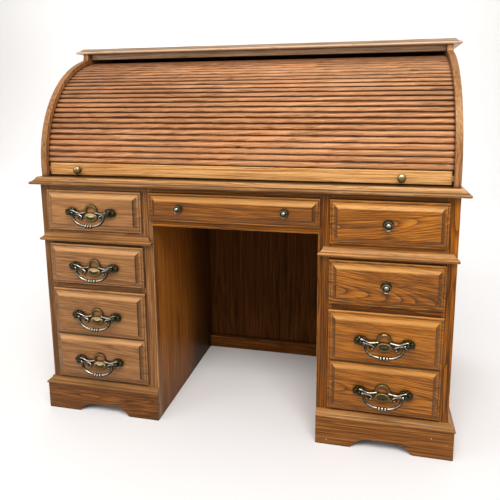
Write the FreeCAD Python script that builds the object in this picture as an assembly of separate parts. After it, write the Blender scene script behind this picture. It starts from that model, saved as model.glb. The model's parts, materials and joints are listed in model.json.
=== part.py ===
import FreeCAD, Part
import math
import os

# Double-pedestal roll-top desk in oak. All lengths are millimetres.
# While it is built, x runs across, z up from the floor, and y back from the face frame's front.

# Case
case_width = 1224.0
case_depth = 672.0
desk_height = 762.0
knee_width = 491.0
side_board = 18.0
face_board = 20.0
back_board = 6.0
floor_board = 18.0

# Gaps and overruns
seat_gap = 0.3
overrun = 5.0

# Desk top: a board with a sloped, nosed edge
top_thickness = 22.0
top_front_overhang = 24.0
top_side_overhang = 23.0
top_rear_overhang = 12.0
top_setback = 17.0
top_nose = 9.0
slope_dip_share = 0.16

# Flat left along the top of the strip mouldings
moulding_ledge = 1.0

# Face frame of a pedestal, from the desk top down
outer_stile = 33.0
inner_stile = 39.0
top_rail = 25.0
upper_opening = 107.0
waist_rail = 61.0
middle_opening = 110.0
lower_rail = 35.0
file_sill = 121.0
foot_rail = 51.0

# Waist moulding across each pedestal
waist_height = 25.5
waist_reach = 16.0
waist_nose = 10.0
waist_end_overhang = 5.0

# Plinth with its arched front board and the moulding along its top
plinth_height = 84.0
plinth_front = 13.0
plinth_side = 16.0
plinth_cap_height = 22.0
plinth_cap_reach = 3.0
plinth_cap_nose = 9.0
arch_width = 182.0
arch_flat = 68.0
arch_height = 30.0
arch_swell = 12.0

# Drawer fronts: a lipped board with a raised field
lip_overlap = 8.0
lip_thickness = 9.0
lip_round = 3.0
lip_flat = 7.0
panel_step = 1.5
bevel_run = 15.0
bevel_rise = 6.0
field_step = 2.0
split_flat = 3.0
file_panel_count = 2
tenon_thickness = 10.0
opening_clearance = 1.5

# Drawer boxes and the runners that carry them
box_wall = 12.0
box_bottom = 6.0
bottom_lift = 10.0
box_headroom = 15.0
box_depth = 540.0
runner_height = 16.0

# Centre drawer above the kneehole
centre_opening = 66.0
centre_rail = 25.0
centre_lip_overlap = 6.0
centre_box_depth = 430.0

# Back of the kneehole
knee_depth = 491.0
knee_rail_height = 46.0
knee_rail_thickness = 18.0
knee_panel = 6.0

# Roll top: the tambour runs on one true circle about an axis across the desk
roll_setback = 11.0
roll_radius = 352.0
roll_axis_rise = 29.4
roll_board = 18.0
neck_forward = 87.0
neck_round = 14.0
tambour_inset = 15.0
head_room = 25.6
tail_angle = 84.5
roll_travel = 66.0
groove_depth = 9.0
groove_clearance = 0.8
groove_spare_angle = 2.0

# Tambour
slat_pitch = 17.9
slat_thickness = 10.0
slat_shoulder = 6.0
slat_gap = 0.6
slat_end_gap = 1.0
canvas_thickness = 0.8
canvas_end_gap = 8.0
lead_rail_height = 40.0
lead_rail_thickness = 18.0
lead_rail_end_gap = 3.0
tongue_height = 16.0

# Fascia and cap above the tambour
fascia_recess = 21.0
fascia_thickness = 16.0
fascia_gap = 15.0
cap_thickness = 18.0
cap_setback = 18.0
cap_nose = 8.0
cap_front_overhang = 8.0
cap_side_overhang = 24.0
cap_rear_overhang = 6.0

# Pigeonhole unit standing on the desk top
unit_height = 225.0
unit_depth = 190.0
unit_board = 10.0
unit_back = 4.0
unit_end_gap = 4.0
unit_rear_gap = 50.0
unit_bays = 5

# Bail pulls
pull_axis_out = 18.0
post_spacing = 126.0
post_radius = 5.5
post_ball = 7.5
rosette_radius = 9.0
rosette_thickness = 3.0
end_ball = 9.0
end_ball_out = 6.0
end_ball_spacing = 144.0
boss_width = 43.0
boss_height = 21.0
boss_thickness = 7.0
boss_round = 2.5
boss_drop = 13.0
ring_radius = 16.0
ring_wire = 3.0
ring_out = 2.0
ring_rise = 4.0
arm_root = 4.5
arm_tip = 3.5
arm_out = 2.5
bail_width = 102.0
bail_leg = 13.0
bail_bend = 27.0
bail_wire = 3.3
pin_radius = 2.5
pin_clearance = 0.1
pin_spare = 1.0
bead_wire = 1.9
bead_pitch = 9.0
bead_count = 3

# Bolts and screws that hold the pulls and knobs
bolt_radius = 2.0
bolt_clearance = 0.2
bolt_head_radius = 4.0
bolt_head_height = 2.5

# Knobs: plate radius, plate thickness, neck radius, neck end, head radius, head's widest place, reach
drawer_knob = dict(plate=15.0, rim=3.0, neck=5.5, neck_end=9.0, head=11.5, girth=16.0, reach=22.0)
centre_knob = dict(plate=13.0, rim=2.5, neck=5.0, neck_end=8.0, head=10.0, girth=14.0, reach=20.0)
rail_knob = dict(plate=9.0, rim=2.0, neck=4.5, neck_end=7.0, head=11.5, girth=13.0, reach=19.0)
centre_knob_spacing = 308.0
rail_knob_spacing = 955.0
rail_knob_shift = -15.0

# Worked out from the sizes above
case_half = case_width / 2
knee_half = knee_width / 2
carcase_top = desk_height - top_thickness
opening_inner = knee_half + inner_stile
opening_outer = case_half - outer_stile
bay_centre = (opening_inner + opening_outer) / 2
bay_half = (opening_outer - opening_inner) / 2
upper_top = carcase_top - top_rail
upper_bottom = upper_top - upper_opening
middle_top = upper_bottom - waist_rail
middle_bottom = middle_top - middle_opening
file_top = middle_bottom - lower_rail
file_bottom = file_sill
centre_bottom = upper_top - centre_opening
front_proud = seat_gap + lip_thickness + panel_step + bevel_rise + field_step
roll_inner = case_half - roll_board
axis_y = roll_setback + roll_radius
axis_z = desk_height + roll_axis_rise
tambour_radius = roll_radius - tambour_inset
slat_back = tambour_radius - slat_thickness
cap_bottom = axis_z + tambour_radius + head_room
neck_y = axis_y - neck_forward
fascia_y = neck_y + fascia_recess
back_face = case_depth - back_board
rail_bottom = desk_height + seat_gap
rail_top = rail_bottom + lead_rail_height
rail_face = axis_y - tambour_radius
rail_middle = (rail_bottom + rail_top) / 2
rail_half = roll_inner - lead_rail_end_gap
slat_angle = math.degrees(slat_pitch / tambour_radius)
canvas_back = slat_back - canvas_thickness
first_angle = math.degrees(math.asin((rail_top + seat_gap - axis_z) / canvas_back))
slat_count = int((tail_angle - first_angle) / slat_angle)
front_reach = front_proud + pull_axis_out + post_ball
rear_reach = case_depth + top_rear_overhang
origin_shift = FreeCAD.Vector(0, (front_reach - rear_reach) / 2, 0)

hands = (("left", -1), ("right", 1))


def point(x, y, z):
    return FreeCAD.Vector(x, y, z)


def line(a, b):
    return Part.LineSegment(a, b).toShape()


def arc(a, middle, b):
    return Part.Arc(a, middle, b).toShape()


def block(x0, x1, y0, y1, z0, z1):
    return Part.makeBox(x1 - x0, y1 - y0, z1 - z0, point(x0, y0, z0))


def rod(x, y, z, radius, length, axis):
    return Part.makeCylinder(radius, length, point(x, y, z), axis)


def prism(edges, along):
    return Part.Face(Part.Wire(edges)).extrude(along)


def closed_lines(points):
    return [line(a, b) for a, b in zip(points, points[1:] + points[:1])]


def joined(solids):
    return solids[0].fuse(solids[1:])


def handed(shape, sign):
    """The right-hand shape, or its mirror image for the left."""
    if sign > 0:
        return shape
    return shape.mirror(point(0, 0, 0), point(1, 0, 0))


def save(name, solids):
    """Write one node, shifted so that the origin lies under the middle of the whole desk."""
    shape = solids[0] if len(solids) == 1 else Part.makeCompound(solids)
    shape = shape.translated(origin_shift)
    shape.exportStep("parts/" + name + ".step")
    print(name, len(shape.Solids), round(shape.Volume))


def moulded_edges(length, height, setback, nose, both_ends, place):
    """Outline of a board's end: a round nose below, and a hollow slope up to the top face."""
    r = nose / 2
    slope_out = (setback + r) / 2
    slope_up = (height + nose) / 2 - (height - nose) * slope_dip_share
    edges = [
        arc(place(setback, height), place(slope_out, slope_up), place(r, nose)),
        arc(place(r, nose), place(0, r), place(r, 0)),
    ]
    if not both_ends:
        return edges + [
            line(place(r, 0), place(length, 0)),
            line(place(length, 0), place(length, height)),
            line(place(length, height), place(setback, height)),
        ]
    return edges + [
        line(place(r, 0), place(length - r, 0)),
        arc(place(length - r, 0), place(length, r), place(length - r, nose)),
        arc(place(length - r, nose), place(length - slope_out, slope_up), place(length - setback, height)),
        line(place(length - setback, height), place(setback, height)),
    ]


def moulded_board(x0, x1, y0, y1, z, height, setback, end_setback, nose):
    """A board whose front edge and both ends carry the moulding, mitred where they meet."""
    front = moulded_edges(y1 - y0, height, setback, nose, False, lambda u, v: point(x0, y0 + u, z + v))
    ends = moulded_edges(x1 - x0, height, end_setback, nose, True, lambda u, v: point(x0 + u, y0, z + v))
    return prism(front, point(x1 - x0, 0, 0)).common(prism(ends, point(0, y1 - y0, 0)))


# Case boards

def desk_top():
    half = case_half + top_side_overhang
    return moulded_board(-half, half, -top_front_overhang, case_depth + top_rear_overhang, carcase_top,
                         top_thickness, top_setback, top_setback, top_nose)


def outer_side():
    return block(case_half - side_board, case_half, face_board, case_depth, 0, carcase_top)


def inner_side():
    return block(knee_half, knee_half + side_board, face_board, case_depth, 0, carcase_top)


def pedestal_back():
    return block(knee_half + side_board, case_half - side_board, back_face, case_depth,
                 plinth_height, carcase_top)


def pedestal_floor():
    return block(knee_half + side_board, case_half - side_board, face_board, back_face,
                 plinth_height, plinth_height + floor_board)


def face_frame():
    rails = (
        (upper_top, carcase_top),
        (middle_top, upper_bottom),
        (file_top, middle_bottom),
        (file_bottom - foot_rail, file_bottom),
    )
    boards = [
        block(knee_half, opening_inner, 0, face_board, 0, carcase_top),
        block(opening_outer, case_half, 0, face_board, 0, carcase_top),
    ]
    for low, high in rails:
        boards.append(block(opening_inner, opening_outer, 0, face_board, low, high))
    return boards


def waist_moulding():
    z = (middle_top + upper_bottom - waist_height) / 2
    return moulded_board(knee_half, case_half + waist_end_overhang, -waist_reach, 0, z,
                         waist_height, waist_reach - moulding_ledge, waist_reach, waist_nose)


def plinth_board():
    """The front board over its arch: a flat crown and two brackets, each a hollow arc and a swell at its foot."""
    half = arch_width / 2
    flat = arch_flat / 2
    outer = case_half + plinth_side
    slope = 2 * math.atan(arch_height / (half - flat))
    hollow = (half - flat) / math.sin(slope) - arch_swell

    def place(x, z):
        return point(x, -plinth_front, z)

    def on_swell(side, turn):
        x = side * (half - arch_swell * math.sin(turn))
        return place(bay_centre + x, arch_swell * (1 - math.cos(turn)))

    def on_hollow(side, turn):
        x = side * (flat + hollow * math.sin(turn))
        return place(bay_centre + x, arch_height - hollow * (1 - math.cos(turn)))

    corners = [on_swell(1, 0), place(outer, 0), place(outer, plinth_height), place(knee_half, plinth_height),
               place(knee_half, 0), on_swell(-1, 0)]
    edges = [line(a, b) for a, b in zip(corners, corners[1:])]
    edges.append(line(on_hollow(-1, 0), on_hollow(1, 0)))
    for side in (-1, 1):
        edges.append(arc(on_swell(side, 0), on_swell(side, slope / 2), on_swell(side, slope)))
        edges.append(arc(on_swell(side, slope), on_hollow(side, slope / 2), on_hollow(side, 0)))
    return prism(Part.__sortEdges__(edges), point(0, plinth_front, 0))


def plinth():
    """The arched board in front and the plain board along the outer side."""
    outer = case_half + plinth_side
    return [plinth_board(), block(case_half, outer, 0, case_depth, 0, plinth_height)]


def plinth_moulding():
    """A strip along the front, moulded at its outer end too, and a strip along the side, butted to it."""
    reach = plinth_front + plinth_cap_reach
    side_reach = plinth_side + plinth_cap_reach
    outer = case_half + side_reach
    length = outer - knee_half

    def edges(depth, setback, place):
        return moulded_edges(depth, plinth_cap_height, setback - moulding_ledge, plinth_cap_nose,
                             False, place)

    front = edges(reach, reach, lambda u, v: point(knee_half, u - reach, plinth_height + v))
    end = edges(length, side_reach, lambda u, v: point(outer - u, -reach, plinth_height + v))
    side = edges(side_reach, side_reach, lambda u, v: point(outer - u, 0, plinth_height + v))
    strip = prism(front, point(length, 0, 0)).common(prism(end, point(0, reach, 0)))
    return [strip, prism(side, point(0, case_depth, 0))]


def centre_rails():
    """The rail under the desk top and the rail under the centre drawer, between the pedestals."""
    return [
        block(-knee_half, knee_half, 0, face_board, upper_top, carcase_top),
        block(-knee_half, knee_half, 0, face_board, centre_bottom - centre_rail, centre_bottom),
    ]


def kneehole_rail():
    return block(-knee_half, knee_half, knee_depth, knee_depth + knee_rail_thickness, 0, knee_rail_height)


def kneehole_panel():
    y = knee_depth + knee_rail_thickness
    return block(-knee_half, knee_half, y, y + knee_panel, 0, carcase_top)


# Drawers

def runners():
    """A pair of strips on the pedestal's walls under each drawer."""
    strips = []
    inner_wall = knee_half + side_board
    outer_wall = case_half - side_board
    under_inner = bay_centre - bay_half + opening_clearance + box_wall
    under_outer = bay_centre + bay_half - opening_clearance - box_wall
    for bottom in (upper_bottom, middle_bottom, file_bottom):
        top = bottom + opening_clearance - seat_gap
        strips.append(block(inner_wall, under_inner, face_board, back_face, top - runner_height, top))
        strips.append(block(under_outer, outer_wall, face_board, back_face, top - runner_height, top))
    return strips


def centre_runners():
    top = centre_bottom + opening_clearance - seat_gap
    under = knee_half - opening_clearance - box_wall
    strip = block(under, knee_half, face_board, knee_depth, top - runner_height, top)
    return [handed(strip, -1), strip]


def bolt_hole(x, z):
    length = front_proud + tenon_thickness + overrun + overrun
    return rod(x, -front_proud - overrun, z, bolt_radius + bolt_clearance, length, point(0, 1, 0))


def bolt(x, start_y, end_y, z):
    """A shank from the hardware's back to the inside face, with its head there."""
    shank = rod(x, start_y, z, bolt_radius, end_y - start_y, point(0, 1, 0))
    head = rod(x, end_y, z, bolt_head_radius, bolt_head_height, point(0, 1, 0))
    return joined([shank, head])


def rectangle(half, y, low, high):
    corners = [point(-half, y, low), point(half, y, low), point(half, y, high), point(-half, y, high)]
    return Part.Wire(closed_lines(corners))


def raised_panel(half, low, high):
    """A step, a bevel all round and a second step up to the flat field."""
    base = -seat_gap - lip_thickness
    foot = base - panel_step
    crest = foot - bevel_rise
    step = block(-half, half, foot, base, low, high)
    inner = half - bevel_run
    bevel = Part.makeLoft([rectangle(half, foot, low, high),
                           rectangle(inner, crest, low + bevel_run, high - bevel_run)], True, True)
    field = block(-inner, inner, -front_proud, crest, low + bevel_run, high - bevel_run)
    return [step, bevel, field]


def drawer_front(half, bottom, top, overlap, panel_count):
    """A front centred on x = 0 for an opening, with its panels shared out over its height."""
    lip_half = half + overlap
    low = bottom - lip_overlap
    high = top + lip_overlap
    lip = block(-lip_half, lip_half, -seat_gap - lip_thickness, -seat_gap, low, high)
    rim = [e for e in lip.Edges if e.BoundBox.YMax < -seat_gap - lip_thickness / 2]
    lip = lip.makeFillet(lip_round, rim)
    tenon = block(-half + opening_clearance, half - opening_clearance, -seat_gap, tenon_thickness,
                  bottom + opening_clearance, top - opening_clearance)
    solids = [lip, tenon]
    spread = (high - low) / panel_count
    for index in range(panel_count):
        panel_low = low + index * spread + (lip_flat if index == 0 else split_flat)
        last = index == panel_count - 1
        panel_high = low + (index + 1) * spread - (lip_flat if last else split_flat)
        solids += raised_panel(lip_half - lip_flat, panel_low, panel_high)
    return joined(solids)


def drawer_box(half, bottom, top, depth):
    """Two sides, a back and a bottom, butted together behind the front."""
    outer = half - opening_clearance
    inner = outer - box_wall
    low = bottom + opening_clearance
    high = top - box_headroom
    floor = low + bottom_lift
    rear = depth - box_wall
    return [
        block(-outer, -inner, tenon_thickness, depth, low, high),
        block(inner, outer, tenon_thickness, depth, low, high),
        block(-inner, inner, rear, depth, low, high),
        block(-inner, inner, tenon_thickness, rear, floor, floor + box_bottom),
    ]


def panel_centres(bottom, top, panel_count):
    spread = (top - bottom + lip_overlap + lip_overlap) / panel_count
    low = bottom - lip_overlap
    return [low + spread * (index + 0.5) for index in range(panel_count)]


# Hardware

def knob(size):
    """A turned knob on a round plate, with a spherical crown, standing forward from the origin."""
    crown = size["reach"] - size["girth"]
    ball = (size["head"] ** 2 + crown ** 2) / (crown + crown)
    lean = math.asin(size["head"] / ball) / 2
    profile = [(0, 0), (size["plate"], 0), (size["plate"], size["rim"] / 2), (size["neck"], size["rim"]),
               (size["neck"], size["neck_end"]), (size["head"], size["girth"])]

    def place(r, out):
        return point(0, -out, r)

    edges = [line(place(*a), place(*b)) for a, b in zip(profile, profile[1:])]
    crown_middle = place(ball * math.sin(lean), size["reach"] - ball + ball * math.cos(lean))
    edges.append(arc(place(size["head"], size["girth"]), crown_middle, place(0, size["reach"])))
    edges.append(line(place(0, size["reach"]), place(0, 0)))
    return Part.Face(Part.Wire(edges)).revolve(point(0, 0, 0), point(0, 1, 0), 360)


def post_blank(side):
    """A stem with a ball at its end, standing forward from the drawer's face."""
    x = side * post_spacing / 2
    stem = rod(x, 0, 0, post_radius, pull_axis_out, point(0, -1, 0))
    return joined([stem, Part.makeSphere(post_ball, point(x, -pull_axis_out, 0), point(0, side, 0))])


def pull_post(side):
    """The post, bored from its inner side for the bail's pin."""
    start = bail_width / 2
    length = post_spacing / 2 - start + pin_spare + pin_spare
    bore = rod(side * start, -pull_axis_out, 0, pin_radius + pin_clearance, length, point(side, 0, 0))
    return post_blank(side).cut(bore)


def pull_end():
    """The right-hand end of a plate: an arm from the middle, a rosette round the post and an end ball."""
    ball_x = end_ball_spacing / 2
    reach = ball_x + end_ball + overrun
    front = block(-reach, reach, -reach, 0, -reach, reach)
    arm = Part.makeCone(arm_root, arm_tip, ball_x, point(0, -arm_out, 0), point(1, 0, 0))
    ball = Part.makeSphere(end_ball, point(ball_x, -end_ball_out, 0), point(0, 1, 0))
    rosette = rod(post_spacing / 2, 0, 0, rosette_radius, rosette_thickness, point(0, -1, 0))
    return joined([arm.common(front), ball.common(front), rosette]).cut(post_blank(1))


def pull_plate():
    """A boss hung below a ring, and an arm each side past a post to an end ball, flat behind."""
    half = boss_width / 2
    rim = Part.Ellipse(point(half, 0, -boss_drop), point(0, 0, boss_height / 2 - boss_drop),
                       point(0, 0, -boss_drop))
    boss = Part.Face(Part.Wire([rim.toShape()])).extrude(point(0, -boss_thickness, 0))
    front_edges = [e for e in boss.Edges if e.BoundBox.YMax < -boss_thickness / 2]
    reach = ring_radius + ring_wire + ring_rise
    front = block(-reach, reach, -reach, 0, -reach, reach)
    ring = Part.makeTorus(ring_radius, ring_wire, point(0, -ring_out, ring_rise), point(0, 1, 0))
    solids = [boss.makeFillet(boss_round, front_edges), ring.common(front)]
    return joined(solids + [handed(pull_end(), side) for side in (-1, 1)])


def pull(x, z):
    """The plate and its two posts, with a bolt behind each post."""
    place = point(x, -front_proud, z)
    solids = [pull_plate().translated(place)]
    for side in (-1, 1):
        solids.append(pull_post(side).translated(place))
        solids.append(bolt(x + side * post_spacing / 2, -front_proud, tenon_thickness, z))
    return solids


def bail():
    """A hanging loop of round wire with a pin at each end and beads in the middle."""
    y = -pull_axis_out
    half = bail_width / 2
    steep = math.sqrt(0.5)
    low = -bail_leg - bail_bend
    edges = []
    for side in (1, -1):
        top = point(side * half, y, 0)
        turn = point(side * half, y, -bail_leg)
        swing = point(side * (half - bail_bend + bail_bend * steep), y, -bail_leg - bail_bend * steep)
        flat = point(side * (half - bail_bend), y, low)
        edges += [line(top, turn), arc(turn, swing, flat)]
    edges.append(line(point(half - bail_bend, y, low), point(bail_bend - half, y, low)))
    path = Part.Wire(Part.__sortEdges__(edges))
    section = Part.Wire([Part.Circle(path.OrderedVertexes[0].Point, point(0, 0, 1), bail_wire).toShape()])
    solids = [path.makePipeShell([section], True, False)]
    pin_length = post_spacing / 2 - half + pin_spare
    for side in (-1, 1):
        solids.append(Part.makeSphere(bail_wire, point(side * half, y, 0)))
        solids.append(rod(side * half, y, 0, pin_radius, pin_length, point(side, 0, 0)))
    for index in range(bead_count):
        bead_x = (index - (bead_count - 1) / 2) * bead_pitch
        solids.append(Part.makeTorus(bail_wire, bead_wire, point(bead_x, y, low), point(1, 0, 0)))
    return joined(solids)


# Roll top

def on_circle(radius, angle, x):
    """The place at an angle up from the front of the roll's circle."""
    turn = math.radians(angle)
    return point(x, axis_y - radius * math.cos(turn), axis_z + radius * math.sin(turn))


def ring_sector(inner, outer, start, end, x0, x1):
    """A curved channel between two radii and two angles, from x0 to x1."""
    middle = (start + end) / 2
    edges = [
        arc(on_circle(outer, start, x0), on_circle(outer, middle, x0), on_circle(outer, end, x0)),
        line(on_circle(outer, end, x0), on_circle(inner, end, x0)),
        arc(on_circle(inner, end, x0), on_circle(inner, middle, x0), on_circle(inner, start, x0)),
        line(on_circle(inner, start, x0), on_circle(outer, start, x0)),
    ]
    return prism(edges, point(x1 - x0, 0, 0))


def roll_side():
    """A panel with a round front, a hollow neck under the cap and the groove for the slat ends."""
    x = roll_inner
    foot_angle = -math.degrees(math.asin(roll_axis_rise / roll_radius))
    hollow_y = neck_y - neck_round
    hollow_z = axis_z + math.sqrt((roll_radius + neck_round) ** 2 - (axis_y - hollow_y) ** 2)
    neck_angle = math.degrees(math.atan2(hollow_z - axis_z, axis_y - hollow_y))
    lean = math.radians(neck_angle / 2)
    foot = on_circle(roll_radius, foot_angle, x)
    shoulder = on_circle(roll_radius, neck_angle, x)
    hollow_middle = point(x, hollow_y + neck_round * math.cos(lean), hollow_z - neck_round * math.sin(lean))
    neck = point(x, neck_y, hollow_z)
    edges = [
        arc(foot, on_circle(roll_radius, (foot_angle + neck_angle) / 2, x), shoulder),
        arc(shoulder, hollow_middle, neck),
    ] + [line(a, b) for a, b in (
        (neck, point(x, neck_y, cap_bottom)),
        (point(x, neck_y, cap_bottom), point(x, case_depth, cap_bottom)),
        (point(x, case_depth, cap_bottom), point(x, case_depth, desk_height)),
        (point(x, case_depth, desk_height), foot),
    )]
    panel = prism(edges, point(roll_board, 0, 0))
    groove = ring_sector(slat_back - groove_clearance, tambour_radius + groove_clearance,
                         foot_angle + foot_angle, tail_angle + roll_travel + groove_spare_angle,
                         x - overrun, x + groove_depth)
    return panel.cut(groove)


def roll_back():
    return block(-roll_inner, roll_inner, back_face, case_depth, desk_height, cap_bottom)


def roll_cap():
    half = case_half + cap_side_overhang
    return moulded_board(-half, half, neck_y - cap_front_overhang, case_depth + cap_rear_overhang, cap_bottom,
                         cap_thickness, cap_setback, cap_setback, cap_nose)


def roll_fascia():
    crown = axis_z + math.sqrt(tambour_radius ** 2 - (axis_y - fascia_y) ** 2)
    return block(-roll_inner, roll_inner, fascia_y, fascia_y + fascia_thickness,
                 crown + fascia_gap, cap_bottom)


def slat_half_width():
    return slat_back * math.tan(math.radians(slat_angle / 2))


def slats():
    """Slats with a flat back and a round face, one beside the next along the circle."""
    half = slat_half_width() - slat_gap / 2
    reach = roll_inner + groove_depth - slat_end_gap
    solids = []
    for index in range(slat_count):
        turn = math.radians(first_angle + slat_angle * (index + 0.5))

        def place(r, t):
            y = axis_y - r * math.cos(turn) + t * math.sin(turn)
            return point(-reach, y, axis_z + r * math.sin(turn) + t * math.cos(turn))

        shoulder = slat_back + slat_shoulder
        edges = [
            line(place(slat_back, half), place(slat_back, -half)),
            line(place(slat_back, -half), place(shoulder, -half)),
            arc(place(shoulder, -half), place(tambour_radius, 0), place(shoulder, half)),
            line(place(shoulder, half), place(slat_back, half)),
        ]
        solids.append(prism(edges, point(reach + reach, 0, 0)))
    return solids


def canvas():
    """The cloth glued across the slats' flat backs, with one facet to a slat."""
    reach = roll_inner - canvas_end_gap
    facet = math.cos(math.radians(slat_angle / 2))
    angles = [first_angle + slat_angle * index for index in range(slat_count + 1)]
    outer = [on_circle(slat_back / facet, angle, -reach) for angle in angles]
    inner = [on_circle(canvas_back / facet, angle, -reach) for angle in angles]
    return prism(closed_lines(outer + inner[::-1]), point(reach + reach, 0, 0))


def rail_knob_places():
    return [rail_knob_shift + side * rail_knob_spacing / 2 for side in (-1, 1)]


def lead_rail():
    """The tambour's bottom board, with a tongue at each end that runs in the groove."""
    rail = block(-rail_half, rail_half, rail_face, rail_face + lead_rail_thickness, rail_bottom, rail_top)
    low = rail_middle - tongue_height / 2
    end = roll_inner + groove_depth - slat_end_gap
    tongue_face = rail_face + groove_clearance
    tongue = block(-end, end, tongue_face, rail_face + slat_thickness, low, low + tongue_height)
    rail = joined([rail, tongue])
    length = lead_rail_thickness + overrun + overrun
    for x in rail_knob_places():
        hole = rod(x, rail_face - overrun, rail_middle, bolt_radius + bolt_clearance, length, point(0, 1, 0))
        rail = rail.cut(hole)
    return rail


def lead_rail_knobs():
    solids = []
    for x in rail_knob_places():
        solids.append(knob(rail_knob).translated(point(x, rail_face, rail_middle)))
        solids.append(bolt(x, rail_face, rail_face + lead_rail_thickness, rail_middle))
    return solids


def pigeonholes():
    """An open unit of bays, each but the middle one with a shelf half way up."""
    half = roll_inner - unit_end_gap
    rear = back_face - unit_rear_gap
    front = rear - unit_depth
    inside = rear - unit_back
    low = desk_height + unit_board
    high = desk_height + unit_height - unit_board
    bay = (half + half - unit_board) / unit_bays
    shelf = (low + high - unit_board) / 2
    boards = [
        block(-half, half, front, rear, desk_height, low),
        block(-half, half, front, rear, high, high + unit_board),
        block(-half, half, inside, rear, low, high),
    ]
    for index in range(unit_bays + 1):
        x = -half + index * bay
        boards.append(block(x, x + unit_board, front, inside, low, high))
    for index in range(unit_bays):
        x = -half + index * bay
        if index != unit_bays // 2:
            boards.append(block(x + unit_board, x + bay, front, inside, shelf, shelf + unit_board))
    return boards


# Drawers by side, name, opening and hardware

drawers = (
    ("left", "upper", upper_bottom, upper_top, "pull"),
    ("left", "middle", middle_bottom, middle_top, "pull"),
    ("left", "file", file_bottom, file_top, "pull"),
    ("right", "upper", upper_bottom, upper_top, "knob"),
    ("right", "middle", middle_bottom, middle_top, "knob"),
    ("right", "file", file_bottom, file_top, "pull"),
)


def save_drawer(side, name, bottom, top, fitting):
    x = dict(hands)[side] * bay_centre
    label = side + "_" + name
    panel_count = file_panel_count if name == "file" else 1
    heights = panel_centres(bottom, top, panel_count)
    across = [x - post_spacing / 2, x + post_spacing / 2] if fitting == "pull" else [x]
    front = drawer_front(bay_half, bottom, top, lip_overlap, panel_count).translated(point(x, 0, 0))
    front = front.cut([bolt_hole(hole_x, z) for z in heights for hole_x in across])
    save(label + "_drawer_front", [front])
    box = drawer_box(bay_half, bottom, top, box_depth)
    save(label + "_drawer_box", [board.translated(point(x, 0, 0)) for board in box])
    if fitting == "knob":
        z = heights[0]
        turned = knob(drawer_knob).translated(point(x, -front_proud, z))
        save(label + "_knob", [turned, bolt(x, -front_proud, tenon_thickness, z)])
        return
    save(label + "_pull", [solid for z in heights for solid in pull(x, z)])
    for z, place in zip(heights, ("lower", "upper")):
        bail_name = label + "_bail" if panel_count == 1 else label + "_" + place + "_bail"
        save(bail_name, [bail().translated(point(x, -front_proud, z))])
        print(bail_name, "axis at", point(x, -front_proud - pull_axis_out, z) + origin_shift)


def save_centre_drawer():
    front = drawer_front(knee_half, centre_bottom, upper_top, centre_lip_overlap, 1)
    z = (centre_bottom + upper_top) / 2
    places = (-centre_knob_spacing / 2, centre_knob_spacing / 2)
    save("centre_drawer_front", [front.cut([bolt_hole(x, z) for x in places])])
    save("centre_drawer_box", drawer_box(knee_half, centre_bottom, upper_top, centre_box_depth))
    fittings = []
    for x in places:
        fittings.append(knob(centre_knob).translated(point(x, -front_proud, z)))
        fittings.append(bolt(x, -front_proud, tenon_thickness, z))
    save("centre_drawer_knobs", fittings)


def save_case():
    save("desk_top", [desk_top()])
    for side, sign in hands:
        save(side + "_outer_side", [handed(outer_side(), sign)])
        save(side + "_inner_side", [handed(inner_side(), sign)])
        save(side + "_face_frame", [handed(board, sign) for board in face_frame()])
        save(side + "_waist_moulding", [handed(waist_moulding(), sign)])
        save(side + "_plinth", [handed(board, sign) for board in plinth()])
        save(side + "_plinth_moulding", [handed(strip, sign) for strip in plinth_moulding()])
        save(side + "_drawer_runners", [handed(strip, sign) for strip in runners()])
        save(side + "_roll_side", [handed(roll_side(), sign)])
    save("pedestal_backs", [handed(pedestal_back(), sign) for side, sign in hands])
    save("pedestal_floors", [handed(pedestal_floor(), sign) for side, sign in hands])
    save("centre_rails", centre_rails())
    save("centre_drawer_runners", centre_runners())
    save("kneehole_rail", [kneehole_rail()])
    save("kneehole_panel", [kneehole_panel()])
    save("roll_back", [roll_back()])
    save("roll_cap", [roll_cap()])
    save("roll_fascia", [roll_fascia()])
    save("pigeonhole_unit", pigeonholes())


def save_tambour():
    save("tambour_slats", slats())
    save("tambour_canvas", [canvas()])
    save("lead_rail", [lead_rail()])
    save("lead_rail_knobs", lead_rail_knobs())
    print("tambour axis at", point(0, axis_y, axis_z) + origin_shift)


os.makedirs("parts", exist_ok=True)
save_case()
save_tambour()
save_centre_drawer()
for drawer in drawers:
    save_drawer(*drawer)
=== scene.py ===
import json
import math

import bmesh
import bpy
import numpy as np
from mathutils import Matrix, Vector

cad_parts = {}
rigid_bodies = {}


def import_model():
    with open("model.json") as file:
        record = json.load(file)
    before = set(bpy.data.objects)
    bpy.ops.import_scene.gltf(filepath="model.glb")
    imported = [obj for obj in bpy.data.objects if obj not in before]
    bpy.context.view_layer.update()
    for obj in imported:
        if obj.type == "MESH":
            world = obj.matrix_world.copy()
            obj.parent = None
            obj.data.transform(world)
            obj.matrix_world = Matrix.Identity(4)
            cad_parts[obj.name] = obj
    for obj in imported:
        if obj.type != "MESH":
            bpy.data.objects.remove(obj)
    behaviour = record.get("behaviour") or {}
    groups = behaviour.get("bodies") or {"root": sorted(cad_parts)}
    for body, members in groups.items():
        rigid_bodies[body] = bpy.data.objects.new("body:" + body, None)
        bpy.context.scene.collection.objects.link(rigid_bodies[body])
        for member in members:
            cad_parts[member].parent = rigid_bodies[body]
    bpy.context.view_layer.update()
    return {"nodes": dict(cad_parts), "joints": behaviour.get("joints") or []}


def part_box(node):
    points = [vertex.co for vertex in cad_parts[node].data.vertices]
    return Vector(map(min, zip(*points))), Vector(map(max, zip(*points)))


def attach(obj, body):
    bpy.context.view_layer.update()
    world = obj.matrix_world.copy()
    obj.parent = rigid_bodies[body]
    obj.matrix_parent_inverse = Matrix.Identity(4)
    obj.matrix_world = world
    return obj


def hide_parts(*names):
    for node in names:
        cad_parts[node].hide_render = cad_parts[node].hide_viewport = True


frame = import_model()
mm = 0.001
quarter = math.pi / 2
hands = ("left", "right")
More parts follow.
